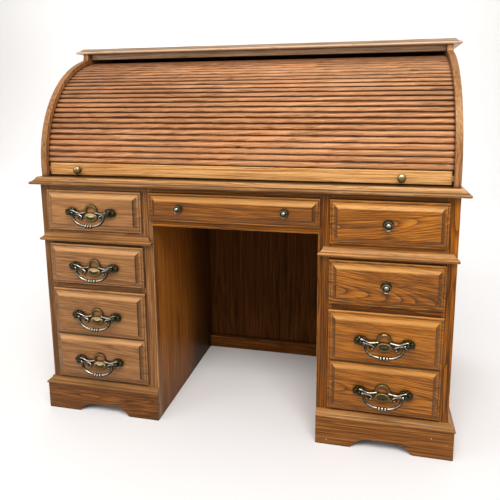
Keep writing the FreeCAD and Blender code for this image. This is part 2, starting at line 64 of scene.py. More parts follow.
chance = np.random.default_rng(28)  # every random draw comes from here, in a fixed order
alongX, alongY, alongZ = 0, 1, 2
print("frame loaded:", len(frame["nodes"]), "solid pieces")


# Surfaces: points, quads, end caps, and how worn each point is, with painted light and shade in the same
# values

boardEdge = dict(ease=1.0 * mm, corner=1.6, steps=4)  # corner: radius of the long edges, in eases
rubAndLightReach = dict(toward=(0.0, -0.77, 0.64), focus=2.2)  # hands and cloths rub what faces up and forward, which also paints a highlight where light from above falls
ballSizes = dict(pole=0.06, rings=13, sides=20)
plankDraws = dict(start=(0, 30), shift=(-0.05, 0.05), heart=(0.035, 0.11), tone=(-1, 1))
pointValues = dict(grain=("FLOAT_VECTOR", "vector"), tone=("FLOAT", "value"), wear=("FLOAT", "value"))
crispAngle = math.radians(33)  # edges that turn further than this stay sharp


def circle(sides):
    # Even angles once round.
    return np.linspace(0, 2 * math.pi, sides, endpoint=False)


def unit(vectors):
    return vectors / np.linalg.norm(vectors, axis=1)[:, None]


def columns(*parts):
    return np.stack(parts, axis=-1)


def joined(*parts):
    return np.concatenate(parts)


def bothEnds(values):
    # One end's values, then the same in reverse for the other end.
    return joined(values, values[::-1])


def gathered(parts, axes=(alongX, alongY, alongZ)):
    # Three coordinates that spread over one grid become its points; axes says which one each is.
    spread = np.broadcast_arrays(*parts)
    return columns(*[spread[axes.index(axis)] for axis in range(3)])


# values above nothing are wear and painted highlight, values below nothing are painted shade
def skin(rings, wear):
    # Point j of ring i is rings[i, j]; quads join each ring to the next, and a flat cap closes each end.
    count, size = rings.shape[:2]
    index = np.arange(count * size).reshape(count, size)
    ahead = np.roll(index, -1, axis=1)
    quads = columns(index[:-1], ahead[:-1], ahead[1:], index[1:]).reshape(-1, 4)
    worn = np.array(np.broadcast_to(wear, (count, size)), float).ravel()
    return dict(points=rings.reshape(-1, 3), quads=quads, caps=[index[0, ::-1], index[-1]], wear=worn)


def quarterRound(ease, steps=4):
    # Inset, reach and wear of a quarter circle that eases an edge, from the end inwards.
    turn = np.linspace(0, quarter, steps)
    return ease * (1 - np.sin(turn)), ease * (1 - np.cos(turn)), np.sin(2 * turn)


def easedBoard(low, high, along, ease=boardEdge["ease"]):
    # A rounded rectangle carried along the board and drawn in over a quarter circle at each end.
    low, high = np.array(low, float), np.array(high, float)
    others = [axis for axis in range(3) if axis != along]
    half, middle = (high - low)[others] / 2, (high + low)[others] / 2
    inset, reach, rimWear = quarterRound(ease)
    station = joined(low[along] + reach, high[along] - reach[::-1])
    radius = boardEdge["corner"] * ease
    turn = np.linspace(0, quarter, boardEdge["steps"])
    angle = (np.arange(4)[:, None] * quarter + turn).ravel()
    signs = np.repeat([[1, 1], [-1, 1], [-1, -1], [1, -1]], len(turn), axis=0)
    corner = columns(np.cos(angle), np.sin(angle))
    flat = middle + signs * (half - radius) + (radius - bothEnds(inset))[:, None, None] * corner
    rings = gathered((station[:, None], flat[..., 0], flat[..., 1]), (along, *others))
    return skin(rings, np.maximum(np.tile(np.sin(2 * turn), 4), bothEnds(rimWear)[:, None]))


def stackedRectangles(low, high, profile, axis, sides, wear):
    # Rectangles stacked along one axis; profile gives each one's inset and place, sides which edges draw in.
    a, b = [other for other in range(3) if other != axis]
    inset, place = profile[:, 0], profile[:, 1:]
    a0, a1 = low[a] + inset * sides[0], high[a] - inset * sides[1]
    b0, b1 = low[b] + inset * sides[2], high[b] - inset * sides[3]
    across, up = columns(a0, a1, a1, a0), columns(b0, b0, b1, b1)
    return skin(gathered((place, across, up), (axis, a, b)), wear[:, None])


def outlineBoard(outline, y0, y1, ease, band, bandWear):
    # A closed outline in x and z carried from y0 to y1, drawn in along its own normals at both faces,
    # with a band of wear along its edges.
    ahead = unit(np.roll(outline, -1, axis=0) - outline)
    both = ahead + np.roll(ahead, 1, axis=0)
    bisector = columns(-both[:, 1], both[:, 0])
    bisector *= 2 / (np.linalg.norm(both, axis=1) ** 2)[:, None]
    inset, reach, rimWear = quarterRound(ease)
    inset = joined([ease + band], inset)
    reach = joined([0.0], reach)
    rimWear = joined([0.0, bandWear], rimWear[1:])
    station = joined(y0 + reach, y1 - reach[::-1])
    flat = outline + bothEnds(inset)[:, None, None] * bisector
    return skin(gathered((flat[..., 0], station[:, None], flat[..., 1])), bothEnds(rimWear)[:, None])


def smoothPath(points, count):
    # A Catmull-Rom curve through the points.
    padded = joined(2 * points[:1] - points[1:2], points, 2 * points[-1:] - points[-2:-1])
    t = np.linspace(0, len(points) - 1.000001, count)  # just short of the last point
    i = t.astype(int)
    f = (t - i)[:, None]
    a, b, c, d = (padded[i + k] for k in range(4))
    square, cube = 2 * a - 5 * b + 4 * c - d, 3 * b - a - 3 * c + d
    return 0.5 * (2 * b + (c - a) * f + square * f ** 2 + cube * f ** 3)


def facingRubAndLight(normal):
    # How squarely a face looks up and forward, to the rubbing hand and the light above, sharpened by a power.
    return np.clip(normal @ np.array(rubAndLightReach["toward"]), 0, 1) ** rubAndLightReach["focus"]


def tube(path, radius, polish, sides=14):
    # Circles square to a path that lies roughly in x and z.
    tangent = unit(np.gradient(path, axis=0))
    across = unit(np.cross(tangent, [0.0, -1.0, 0.0]))
    out = np.cross(across, tangent)
    angle = circle(sides)[:, None]
    normal = np.cos(angle) * out[:, None, :] + np.sin(angle) * across[:, None, :]
    return skin(path[:, None, :] + radius[:, None, None] * normal, polish * facingRubAndLight(normal))


def turned(profile, place, wear, sides=40):
    # A profile of radius and reach turned about an axis that points forward from its place.
    x, y, z = place
    radius, reach = profile[:, :1], profile[:, 1:]
    angle = circle(sides)
    return skin(gathered((x + radius * np.cos(angle), y - reach, z + radius * np.sin(angle))), wear)


def turnedNormal(out, back, sides=40):
    # Normals of a turned shape, from the parts of its profile's normal that point outwards and backwards.
    angle = circle(sides)
    return gathered((np.outer(out, np.cos(angle)), back[:, None], np.outer(out, np.sin(angle))))


def ball(place, radius, polish, squash):
    # A ball from one small cap to the other, with its axis pointing forward.
    turn = np.linspace(ballSizes["pole"], math.pi - ballSizes["pole"], ballSizes["rings"])
    profile = columns(radius * np.sin(turn), -radius * squash * np.cos(turn))
    normal = turnedNormal(np.sin(turn), np.cos(turn), ballSizes["sides"])
    return turned(profile, place, polish * facingRubAndLight(normal), ballSizes["sides"])


def drawn(spans):
    # One random number within each span, in the order given.
    return {key: chance.uniform(*span) for key, span in spans.items()}


def grained(surface, along=alongX, across=alongZ, **chosen):
    # Each point's place in the tree: along the fibres, across the face, and out from the heart. Every value
    # is drawn first, and then gives way to one that was chosen.
    plank = drawn(plankDraws)
    plank.update({key: value for key, value in chosen.items() if value is not None})
    points = surface["points"]
    local = points - (points.min(0) + points.max(0)) / 2
    depth = 3 - along - across
    surface["grain"] = columns(points[:, along] + plank["start"], local[:, across] + plank["shift"],
                               local[:, depth] + plank["heart"])
    surface["tone"] = np.full(len(points), plank["tone"])
    return surface


def makePiece(node, surfaces, material, body="desk"):
    # Joins surfaces into one mesh with its attributes, turns its faces outwards, rides it on its body and
    # puts it in the place of its solid.
    name = node + "_finished"
    starts = np.cumsum([0] + [len(s["points"]) for s in surfaces])
    faces = []
    for s, start in zip(surfaces, starts):
        faces += (s["quads"] + start).tolist() + [(cap + start).tolist() for cap in s["caps"]]
    mesh = bpy.data.meshes.new(name)
    mesh.from_pydata(joined(*[s["points"] for s in surfaces]).tolist(), [], faces)
    for key, (kind, field) in pointValues.items():
        if key in surfaces[0]:
            values = joined(*[s[key] for s in surfaces]).astype(np.float32)
            mesh.attributes.new(key, kind, "POINT").data.foreach_set(field, values.ravel())
    shell = bmesh.new()
    shell.from_mesh(mesh)
    bmesh.ops.recalc_face_normals(shell, faces=shell.faces)
    shell.to_mesh(mesh)
    shell.free()
    mesh.shade_smooth()
    mesh.set_sharp_from_angle(angle=crispAngle)
    mesh.materials.append(material)
    piece = bpy.data.objects.new(name, mesh)
    bpy.context.scene.collection.objects.link(piece)
    even = piece.modifiers.new("EvenShading", "WEIGHTED_NORMAL")
    even.keep_sharp = True
    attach(piece, body)
    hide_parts(node)


# Materials

creviceSamples = 6
bumpStrength = 0.6


def rgb(colour):
    # Three numbers become an opaque colour; a socket stays as it is.
    return (*colour, 1.0) if isinstance(colour, tuple) else colour


class Recipe:
    # The node tree of a material or a world, with one short call for each kind of node.
    def __init__(self, holder):
        self.holder = holder
        holder.use_nodes = True
        self.tree = holder.node_tree
        self.tree.nodes.clear()

    def node(self, kind, inputs, **settings):
        made = self.tree.nodes.new("ShaderNode" + kind)
        for key, value in settings.items():
            setattr(made, key, value)
        for key, value in inputs.items():
            if isinstance(value, bpy.types.NodeSocket):
                self.tree.links.new(value, made.inputs[key])
            else:
                made.inputs[key].default_value = value
        return made

    def math(self, operation, *values, clamp=False):
        return self.node("Math", dict(enumerate(values)), operation=operation, use_clamp=clamp).outputs[0]

    def plus(self, first, second, clamp=False):
        return self.math("ADD", first, second, clamp=clamp)

    def minus(self, first, second):
        return self.math("SUBTRACT", first, second)

    def times(self, first, second, clamp=False):
        return self.math("MULTIPLY", first, second, clamp=clamp)

    def swing(self, noise, amount):
        return self.times(self.minus(noise, 0.5), amount)

    def vector(self, operation, *values):
        return self.node("VectorMath", dict(enumerate(values)), operation=operation).outputs[0]

    def place(self, output="Object"):
        return self.node("TexCoord", {}).outputs[output]

    def parts(self, vector):
        return self.node("SeparateXYZ", {0: vector}).outputs

    def noise(self, vector, stretch, detail=2.0, output=0):
        scaled = self.vector("MULTIPLY", vector, stretch)
        return self.node("TexNoise", {"Vector": scaled, "Scale": 1.0, "Detail": detail}).outputs[output]

    def stray(self, grain, stretch, amount):
        # A noise in three colours carries the grain sideways; along the fibres it stays.
        sideways = self.vector("SUBTRACT", self.noise(grain, stretch, output=1), (0.5, 0.5, 0.5))
        return self.vector("MULTIPLY", sideways, (0.0, amount, amount))

    def span(self, value, low, high, toLow=0.0, toHigh=1.0):
        inputs = {"Value": value, 1: low, 2: high, 3: toLow, 4: toHigh}
        return self.node("MapRange", inputs, interpolation_type="SMOOTHSTEP").outputs[0]

    def blend(self, share, first, second):
        return self.node("Mix", {0: share, 6: rgb(first), 7: rgb(second)}, data_type="RGBA").outputs[2]

    def ramp(self, value, low, middle, high):
        made = self.node("ValToRGB", {0: value})
        stops = made.color_ramp.elements
        stops[0].color, stops[1].color = rgb(low), rgb(high)
        stops.new(0.5).color = rgb(middle)
        return made.outputs[0]

    def attribute(self, name, output="Fac"):
        return self.node("Attribute", {}, attribute_name=name).outputs[output]

    def crevice(self, distance):
        return self.node("AmbientOcclusion", {"Distance": distance}, samples=creviceSamples).outputs["AO"]

    def finish(self, colour, roughness, height, depth, fixed):
        bump = self.node("Bump", {"Height": height, "Distance": depth, "Strength": bumpStrength}).outputs[0]
        inputs = {"Base Color": colour, "Roughness": roughness, "Normal": bump, **fixed}
        self.node("OutputMaterial", {0: self.node("BsdfPrincipled", inputs).outputs[0]})
        return self.holder


# What all the oak shares: noises per metre along, across and out from the heart, and how they act
oakGrain = dict(
    ripple=(7.0, 20.0, 20.0), rippleBy=0.003, fibre=(5.0, 460.0, 460.0), streak=(3.2, 190.0, 190.0),
    cloud=(2.4, 5.0, 5.0), pore=(28.0, 800.0, 800.0), poreEdge=(0.56, 0.70), poreSpread=0.3, poreDark=0.55,
    fadeFacing=(0.15, 0.55), endSharp=4.0, endDark=0.6, wearFloor=0.22, wearEdge=0.3, dirtDark=0.93,
    dirtFacing=(0.2, 0.5), glossSwing=0.2, fibreHeight=0.5, poreHeight=0.8, ringHeight=0.35, bump=0.5 * mm,
    tint=(1.0, 0.74, 0.42))


def oak(name, look):
    # Rings about the tree's heart, drawn out along the grain, with fibres, pores, soft stains and worn edges,
    # and painted light: a painted highlight on what faces up, and painted shade in crevices and dark lines.
    # A piece brings its grain along as an attribute; a solid reads it from its place, in the look's order.
    r = Recipe(bpy.data.materials.new(name))
    g = oakGrain
    if "order" not in look:
        grain = r.attribute("grain", "Vector")
    else:
        place = r.parts(r.place())
        grain = r.node("CombineXYZ", {k: place[axis] for k, axis in enumerate(look["order"])}).outputs[0]
        grain = r.vector("ADD", grain, look["heart"])
    bent = r.vector("ADD", grain, r.stray(grain, look["swirl"], look["drift"]))
    bent = r.vector("ADD", bent, r.stray(grain, g["ripple"], g["rippleBy"]))
    parts = r.parts(bent)
    radius = r.math("SQRT", r.plus(r.math("POWER", parts[1], 2.0), r.math("POWER", parts[2], 2.0)))
    ring = r.math("FRACT", r.math("DIVIDE", radius, look["ring"]))
    early = r.math("POWER", r.minus(1.0, ring), look["crisp"])
    fibre = r.noise(bent, g["fibre"], 3.0)
    streak = r.noise(bent, g["streak"], 3.0)
    cloud = r.noise(grain, g["cloud"])
    pore = r.span(r.noise(bent, g["pore"], 1.0), *g["poreEdge"])
    pore = r.times(pore, r.plus(g["poreSpread"], early, clamp=True))
    depth = r.times(early, look["rings"])
    for layer, weight in ((fibre, "fibres"), (streak, "streaks"), (cloud, "clouds")):
        depth = r.plus(depth, r.swing(layer, look[weight]))
    depth = r.plus(depth, r.times(r.attribute("tone"), look["tones"]))
    facing = r.parts(r.node("NewGeometry", {}).outputs["Normal"])
    paintedTopLight = r.span(facing[2], *g["fadeFacing"], 0.0, look["fade"])  # what faces up is painted lighter, a painted highlight from light above
    depth = r.plus(r.minus(depth, paintedTopLight), look["base"], clamp=True)
    colour = r.ramp(depth, *look["stain"])
    colour = r.blend(r.times(pore, g["poreDark"]), colour, look["pore"])
    if "endAxis" in look:  # end grain takes more stain
        endGrain = r.times(r.math("POWER", facing[look["endAxis"]], 2.0), g["endSharp"], clamp=True)
        colour = r.blend(r.times(endGrain, g["endDark"]), colour, look["pore"])
    patchy = r.noise(grain, look["patches"], 3.0)
    rubbed = r.times(r.attribute("wear"), r.plus(patchy, g["wearFloor"]))
    rubbed = r.span(rubbed, look["hold"], look["hold"] + g["wearEdge"], 0.0, look["wear"])
    # wear and the painted top light blend towards the same lighter colour
    colour = r.blend(r.math("MAXIMUM", rubbed, paintedTopLight), colour, look["worn"])
    dirt = r.span(r.attribute("wear"), 0.0, -1.0, 0.0, g["dirtDark"])  # wear below nothing is painted shade: dark lines in creases, at the foot of steps and under things
    dirt = r.times(dirt, r.span(facing[2], *g["dirtFacing"], 1.0, look["upDirt"]))
    # crevices, recesses and what lies under things darken by ambient occlusion, a painted shade
    grime = r.span(r.crevice(look["shade"]), look["shut"], look["open"], look["grime"], 0.0)
    colour = r.blend(r.math("MAXIMUM", dirt, grime), colour, look["dirt"])
    if "gloom" in look:  # painted shade: boards beside a recess darken towards its back panel
        start, full, end, most = look["gloom"]
        gloom = r.times(r.span(place[1], start, full, 0.0, most), r.math("LESS_THAN", place[1], end))
        colour = r.blend(gloom, colour, look["dirt"])
    roughness = r.plus(look["gloss"], r.swing(fibre, g["glossSwing"]))
    height = r.minus(r.times(fibre, g["fibreHeight"]), r.times(pore, g["poreHeight"]))
    height = r.minus(height, r.times(early, g["ringHeight"]))
    fixed = {"Specular IOR Level": look["shine"], "Specular Tint": rgb(g["tint"])}
    return r.finish(colour, roughness, height, g["bump"], fixed)


# stain runs from light to dark; ring is a year's width; rings, fibres, streaks, clouds and tones say how much
# each darkens; hold is the wear that the finish stands; fade paints what faces up lighter, a painted
# highlight; grime is painted shade from ambient occlusion in crevices and recesses, from open to shut
caseOak = dict(
    stain=((0.445, 0.150, 0.013), (0.242, 0.069, 0.004), (0.068, 0.017, 0.002)),
    pore=(0.028, 0.007, 0.001), worn=(0.66, 0.34, 0.10), dirt=(0.010, 0.005, 0.002), heart=(0.0, 0.02, 0.07),
    ring=2.7 * mm, crisp=3.6, swirl=(1.6, 3.2, 3.2), drift=0.03, rings=0.75, fibres=1.8, streaks=1.6,
    clouds=0.6, tones=0.08, base=0.37, fade=0.38, wear=0.8, hold=0.36, patches=(30.0, 90.0, 90.0),
    shade=12 * mm, shut=0.2, open=0.9, grime=0.85, upDirt=0.4, gloss=0.38, shine=0.55)
# the left pedestal's stain is paler and greyer than the right's, a painted sheen
leftOak = dict(
    caseOak, stain=((0.450, 0.205, 0.078), (0.250, 0.103, 0.033), (0.082, 0.029, 0.008)),
    worn=(0.64, 0.35, 0.14), rings=0.45, base=0.40)
mouldOak = dict(
    caseOak, stain=((0.50, 0.215, 0.064), (0.325, 0.122, 0.030), (0.12, 0.038, 0.007)),
    rings=0.5, base=0.46, fade=0.14)
plinthBoard = dict(
    caseOak, stain=((0.33, 0.120, 0.026), (0.190, 0.061, 0.010), (0.062, 0.018, 0.003)),
    worn=(0.74, 0.62, 0.48), wear=0.7, hold=0.62, patches=(110.0, 170.0, 170.0), rings=0.45, fibres=2.2,
    base=0.44, fade=0.0, shine=0.3)
topBoard = dict(
    caseOak, stain=((0.55, 0.27, 0.108), (0.350, 0.155, 0.056), (0.115, 0.040, 0.011)),
    rings=0.5, base=0.64, fade=0.14, fibres=2.4, upDirt=0.95)
frameBoard = dict(caseOak, rings=0.6, drift=0.02, base=0.60, shade=24 * mm, shine=0.3)
upright = (alongZ, alongY, alongX)  # the axes along the fibres, across the face and out from the heart
woods = dict(  # the left pedestal has its own copies of the looks: paler and greyer, a painted sheen, and some darker
    rightFrontOak=dict(caseOak, endAxis=alongX),
    leftFrontOak=dict(leftOak, rings=0.35, fibres=1.4, streaks=1.0, endAxis=alongX),
    rightFrameOak=frameBoard,
    leftFrameOak=dict(leftOak, drift=0.02, base=0.44, shade=24 * mm, shine=0.3),
    rightWaistOak=mouldOak,
    leftWaistOak=dict(mouldOak, base=0.84),
    rightFootOak=dict(mouldOak, base=0.70),
    leftFootOak=dict(mouldOak, base=0.96),
    rightPlinthOak=plinthBoard,
    leftPlinthOak=dict(plinthBoard, base=0.72),
    kneeRailOak=dict(plinthBoard, base=0.70, shine=0.1),
    topOak=dict(topBoard, endAxis=alongX),
    capOak=dict(
        topBoard, stain=((0.42, 0.285, 0.185), (0.28, 0.175, 0.106), (0.13, 0.066, 0.031)),
        worn=(0.62, 0.42, 0.27), base=0.34, fade=0.0, endAxis=alongX),
    fasciaOak=dict(
        topBoard, stain=((0.62, 0.42, 0.28), (0.44, 0.275, 0.168), (0.18, 0.094, 0.046)),
        base=0.30, fade=0.0, grime=0.3),
    slatOak=dict(
        caseOak, stain=((0.55, 0.248, 0.103), (0.315, 0.118, 0.042), (0.100, 0.030, 0.008)),
        dirt=(0.034, 0.010, 0.004), worn=(0.64, 0.33, 0.17), ring=8.0 * mm, crisp=3.0,
        swirl=(3.4, 5.0, 5.0), rings=0.3, fibres=2.6, streaks=1.0, clouds=1.0, base=0.34, fade=0.0,
        wear=0.3, tones=0.10, shade=8 * mm, shut=0.30, open=0.92, grime=1.0, shine=0.35),
    leadRailOak=dict(
        caseOak, stain=((0.77, 0.43, 0.166), (0.60, 0.295, 0.098), (0.31, 0.122, 0.030)),
        rings=0.5, fibres=2.4, clouds=1.3, base=0.30, fade=0.0, shine=0.3),
    sideOak=dict(caseOak, heart=(3.1, 0.53, -0.40), base=0.40, fade=0.0, order=upright),
    rollSideOak=dict(leftOak, heart=(3.1, 0.53, -0.40), base=0.34, fade=0.0, order=upright),
    wallOak=dict(
        caseOak, stain=((0.42, 0.154, 0.027), (0.275, 0.091, 0.013), (0.100, 0.027, 0.003)),
        heart=(1.2, 0.55, -0.12), rings=0.5, base=0.38, fade=0.0, shade=300 * mm, open=0.8, grime=0.93,
        shine=0.1, gloom=(-0.10, 0.06, 0.189, 0.68), order=upright),
    # stained far darker than the oak, a painted shade that keeps the kneehole's back in deep shadow
    backVeneer=dict(
        caseOak, stain=((0.125, 0.044, 0.009), (0.076, 0.024, 0.005), (0.026, 0.008, 0.001)),
        pore=(0.010, 0.003, 0.001), heart=(0.4, 0.62, -0.12), ring=5.0 * mm, gloss=0.6, shine=0.05,
        order=(alongZ, alongX, alongY)),
    insideWood=dict(
        caseOak, stain=((0.62, 0.40, 0.20), (0.48, 0.28, 0.125), (0.28, 0.14, 0.05)),
        pore=(0.15, 0.07, 0.025), heart=(0.7, 0.03, 0.05), rings=0.40, base=0.22, fade=0.0,
        gloss=0.6, shine=0.2, order=(alongY, alongX, alongZ)),
    unitWood=dict(frameBoard, order=(alongX, alongY, alongZ)))

brassLook = dict(
    cloud=(130.0, 130.0, 130.0), speck=(900.0, 900.0, 900.0), wearShare=0.62, cloudShare=0.5,
    rubbed=(0.54, 0.90), shade=4 * mm, clear=(0.35, 0.95), rough=0.46, smoother=0.16, roughSwing=0.25,
    patina=((0.014, 0.016, 0.009), (0.060, 0.052, 0.026)), bare=((0.085, 0.055, 0.020), (0.30, 0.20, 0.085)),
    bright=((0.56, 0.48, 0.39), (0.62, 0.45, 0.21)), bump=0.15 * mm)


def brass(name, shine=1.0):
    # Dark patina over brass, thin where the tone says so, and rubbed bright where fingers reach it, which is
    # also a painted highlight on what faces up and forward.
    r = Recipe(bpy.data.materials.new(name))
    b = brassLook
    tone = r.attribute("tone")
    cloud = r.noise(r.place(), b["cloud"], 3.0)
    speck = r.noise(r.place(), b["speck"])
    reach = r.plus(r.times(r.attribute("wear"), b["wearShare"]), r.times(cloud, b["cloudShare"]))
    rubbed = r.span(reach, *b["rubbed"], 0.0, shine)
    rubbed = r.times(rubbed, r.span(r.crevice(b["shade"]), *b["clear"]))
    patina = r.blend(tone, r.blend(cloud, *b["patina"]), r.blend(cloud, *b["bare"]))
    colour = r.blend(rubbed, patina, r.blend(tone, *b["bright"]))
    roughness = r.minus(b["rough"], r.times(rubbed, b["smoother"]))
    roughness = r.plus(roughness, r.swing(speck, b["roughSwing"]))
    return r.finish(colour, roughness, speck, b["bump"], {"Metallic": 1.0})


canvasLook = dict(thread=4200.0, under=(0.30, 0.25, 0.17), over=(0.46, 0.40, 0.29), rough=0.95, smoother=0.1,
                  bump=0.3 * mm, shine=0.1)


def canvasCloth(name):
    # Plain weave: two sets of threads that pass over and under each other.
    r = Recipe(bpy.data.materials.new(name))
    c = canvasLook
    parts = r.parts(r.place())
    warp, weft = (r.math("SINE", r.times(parts[axis], c["thread"])) for axis in (alongX, alongZ))
    weave = r.times(warp, weft)
    share = r.span(weave, -1.0, 1.0)
    colour = r.blend(share, c["under"], c["over"])
    roughness = r.minus(c["rough"], r.times(share, c["smoother"]))
    return r.finish(colour, roughness, weave, c["bump"], {"Specular IOR Level": c["shine"]})


wood = {key: oak(key[0].upper() + key[1:], look) for key, look in woods.items()}
pullBrass = brass("PullBrass")
knobBrass = brass("KnobBrass", shine=0.75)
tambourCanvas = canvasCloth("TambourCanvas")
print("materials made:", len(bpy.data.materials))


# Case

# seamWear is a dark line in the crease between nose and slope, a painted shade
mouldSizes = dict(steps=9, dip=0.16, ledge=1.2 * mm, crest=[(-0.5, -0.35), (0.0, -0.08), (1.0, 0.0)],
                  # lineWear paints the lead rail's shadow on the desk top's flat
                  seamWear=[-1.0, -0.8], crestWear=[0.5, 0.7, 0.2], lineWear=[0.0, -1.0, -1.0, 0.0])
# grimy darkens a moulding's nose, a painted shade; below nothing it lightens the nose, a painted highlight,
# as on the cap
topEdge = dict(nose=9 * mm, setback=17 * mm, grimy=0.35, line=(19 * mm, 27 * mm, 50 * mm))
capEdge = dict(nose=8 * mm, setback=18 * mm, grimy=-0.9)
waistEdge = dict(nose=10 * mm, setback=15 * mm, grimy=0.2)
plinthEdge = dict(nose=9 * mm, setback=14.5 * mm, grimy=0.0)
allButBack = (1, 1, 1, 0)  # left, right, front and back edge of a board: which are moulded


def moulding(box, nose, setback, grimy, line=None):
    # Round nose below, hollow slope above: inset and height of each ring from the underside up.
    m = mouldSizes
    height = box[1].z - box[0].z
    turn = np.linspace(-quarter, quarter, m["steps"])
    r = nose / 2
    noseCurve = columns(r - r * np.cos(turn), r + r * np.sin(turn))
    start, end = np.array([r, nose]), np.array([setback, height])
    sag = np.array([(setback + r) / 2, (height + nose) / 2 - (height - nose) * m["dip"]])
    control = 2 * sag - (start + end) / 2
    t = np.linspace(0, 1, m["steps"])[1:, None]
    slope = (1 - t) ** 2 * start + 2 * t * (1 - t) * control + t ** 2 * end
    crest = end + m["ledge"] * np.array(m["crest"])
    profile = joined(noseCurve, slope[:-1], crest)
    between = np.zeros(len(slope) - 1 - len(m["seamWear"]))
    wear = joined(np.full(len(turn), -grimy), m["seamWear"], between, m["crestWear"])
    if line:  # painted shadow of the lead rail on the flat: insets where it starts, is thickest and ends
        flat = [[inset, height] for inset in (*line, line[-1] + mm)]
        profile = joined(profile, flat)
        wear = joined(wear, m["lineWear"])
    profile[:, 1] += box[0].z
    return profile, wear


def mouldedPiece(box, edge, sides=allButBack, along=alongX):
    profile, wear = moulding(box, **edge)
    return grained(stackedRectangles(*box, profile, alongZ, sides, wear), along, alongY - along)


for node, edge, material, shadeLeft in (
        ("desk_top", topEdge, wood["topOak"], 2.0),
        ("roll_cap", capEdge, wood["capOak"], 0.0)):
    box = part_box(node)
    board = mouldedPiece(box, edge)
    board["tone"] += shadeLeft * np.clip(board["points"][:, 0] / box[0].x, 0, 1)
    makePiece(node, [board], material)

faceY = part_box("left_face_frame")[0].y
frameSizes = dict(lip=8 * mm, footRail=51 * mm, ease=0.8 * mm, trimEase=1.2 * mm,
                  # the two lower rails, recessed between drawer lips, are darkened, a painted shade
                  railTones=(0.0, 0.0, 4.5, 4.5), stileTones=dict(left=(4.0, 1.5), right=(None, None)),
                  blackGap=("left", 1))  # painted shadow: darkens the lower half of the rail over the left middle drawer


def opening(front):
    low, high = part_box(front)
    lip = frameSizes["lip"]
    return low.x + lip, high.x - lip, low.z + lip, high.z - lip


def makeFaceFrame(side):
    # Two upright stiles, and rails between the drawer openings.
    low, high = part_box(side + "_face_frame")
    bays = [opening(f"{side}_{name}_drawer_front") for name in ("upper", "middle", "file")]
    x0, x1 = bays[0][:2]
    levels = [high.z, *[level for bay in bays for level in (bay[3], bay[2])]]
    levels.append(levels[-1] - frameSizes["footRail"])
    ease = frameSizes["ease"]
    boards = []
    for a, b, tone in zip((low.x, x1), (x0, high.x), frameSizes["stileTones"][side]):
        stile = easedBoard((a, low.y, low.z), (b, high.y, high.z), alongZ, ease)
        boards.append(grained(stile, alongZ, alongX, tone=tone))
    for k, tone in enumerate(frameSizes["railTones"]):
        top, bottom = levels[2 * k:2 * k + 2]
        rail = easedBoard((x0, low.y, bottom), (x1, high.y, top), alongX, ease)
        # painted shadow under the rail over the left middle drawer
        if (side, k) == frameSizes["blackGap"]:
            rail["wear"][rail["points"][:, 2] < (top + bottom) / 2] = -1.0
        boards.append(grained(rail, tone=tone))
    makePiece(side + "_face_frame", boards, wood[side + "FrameOak"])


plinthSizes = dict(arch=182 * mm, flat=68 * mm, rise=30 * mm, swell=12 * mm, ease=1.6 * mm, band=5 * mm,
                   bandWear=0.8, steps=10, nail=1.7 * mm, nailSides=12,
                   nailDome=[(1.0, -0.1), (1.0, 0.05), (0.8, 0.12), (0.1, 0.15)],
                   nails=dict(left=[], right=[(278, 16), (568, 60), (581, 42), (608, 45)]))  # x and z in mm


def plinthOutline(x0, x1, height, centre):
    # Round the board from the arch's left foot: a bracket is a small swell and a large hollow, two arcs that
    # meet at the slope whose half has the bracket's rise over its run as its tangent.
    half, flat, rise = plinthSizes["arch"] / 2, plinthSizes["flat"] / 2, plinthSizes["rise"]
    slope = 2 * math.atan2(rise, half - flat)
    small = plinthSizes["swell"]
    large = (half - flat) / math.sin(slope) - small
    turn = np.linspace(0, slope, plinthSizes["steps"])
    swell = columns(half - small * np.sin(turn), small * (1 - np.cos(turn)))
    hollow = columns(flat + large * np.sin(turn), rise - large * (1 - np.cos(turn)))
    bracket = joined(swell, hollow[-2::-1])
    left = bracket * (-1, 1) + (centre, 0)
    right = bracket[::-1] + (centre, 0)
    corners = np.array([[x1, 0], [x1, height], [x0, height], [x0, 0]])
    return joined(left, right, corners)


def outerStrip(side, low, high):
    # What of a box lies outside the pedestal's face frame, from its front backwards.
    frameLow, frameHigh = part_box(side + "_face_frame")
    x0, x1 = (low.x, frameLow.x) if side == "left" else (frameHigh.x, high.x)
    return Vector((x0, faceY, low.z)), Vector((x1, high.y, high.z))


def makePlinth(side):
    # The arched board in front, and a plain board along the outer side.
    s = plinthSizes
    low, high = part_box(side + "_plinth")
    x0, x1, _, _ = opening(side + "_file_drawer_front")
    outline = plinthOutline(low.x, high.x, high.z, (x0 + x1) / 2)
    arched = grained(outlineBoard(outline, low.y, faceY, s["ease"], s["band"], s["bandWear"]))
    arched["wear"] *= arched["points"][:, 2] < high.z / 2  # the moulding covers the upper edge
    flank = grained(easedBoard(*outerStrip(side, low, high), alongY, s["ease"]), alongY)
    dome = np.array(s["nailDome"]) * s["nail"]
    nails = [grained(turned(dome, (x * mm, low.y, z * mm), 1.0, s["nailSides"])) for x, z in s["nails"][side]]
    makePiece(side + "_plinth", [arched, flank, *nails], wood[side + "PlinthOak"])


def makeMouldings(side):
    # The waist moulding, and the plinth's moulding in two strips.
    waist = side + "_waist_moulding"
    makePiece(waist, [mouldedPiece(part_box(waist), waistEdge)], wood[side + "WaistOak"])
    ends = (1, 0) if side == "left" else (0, 1)
    low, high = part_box(side + "_plinth_moulding")
    front = mouldedPiece((low, Vector((high.x, faceY, high.z))), plinthEdge, (*ends, 1, 0))
    flank = mouldedPiece(outerStrip(side, low, high), plinthEdge, (*ends, 0, 0), alongY)
    makePiece(side + "_plinth_moulding", [front, flank], wood[side + "FootOak"])


for side in hands:
    makeFaceFrame(side)
    makePlinth(side)
    makeMouldings(side)

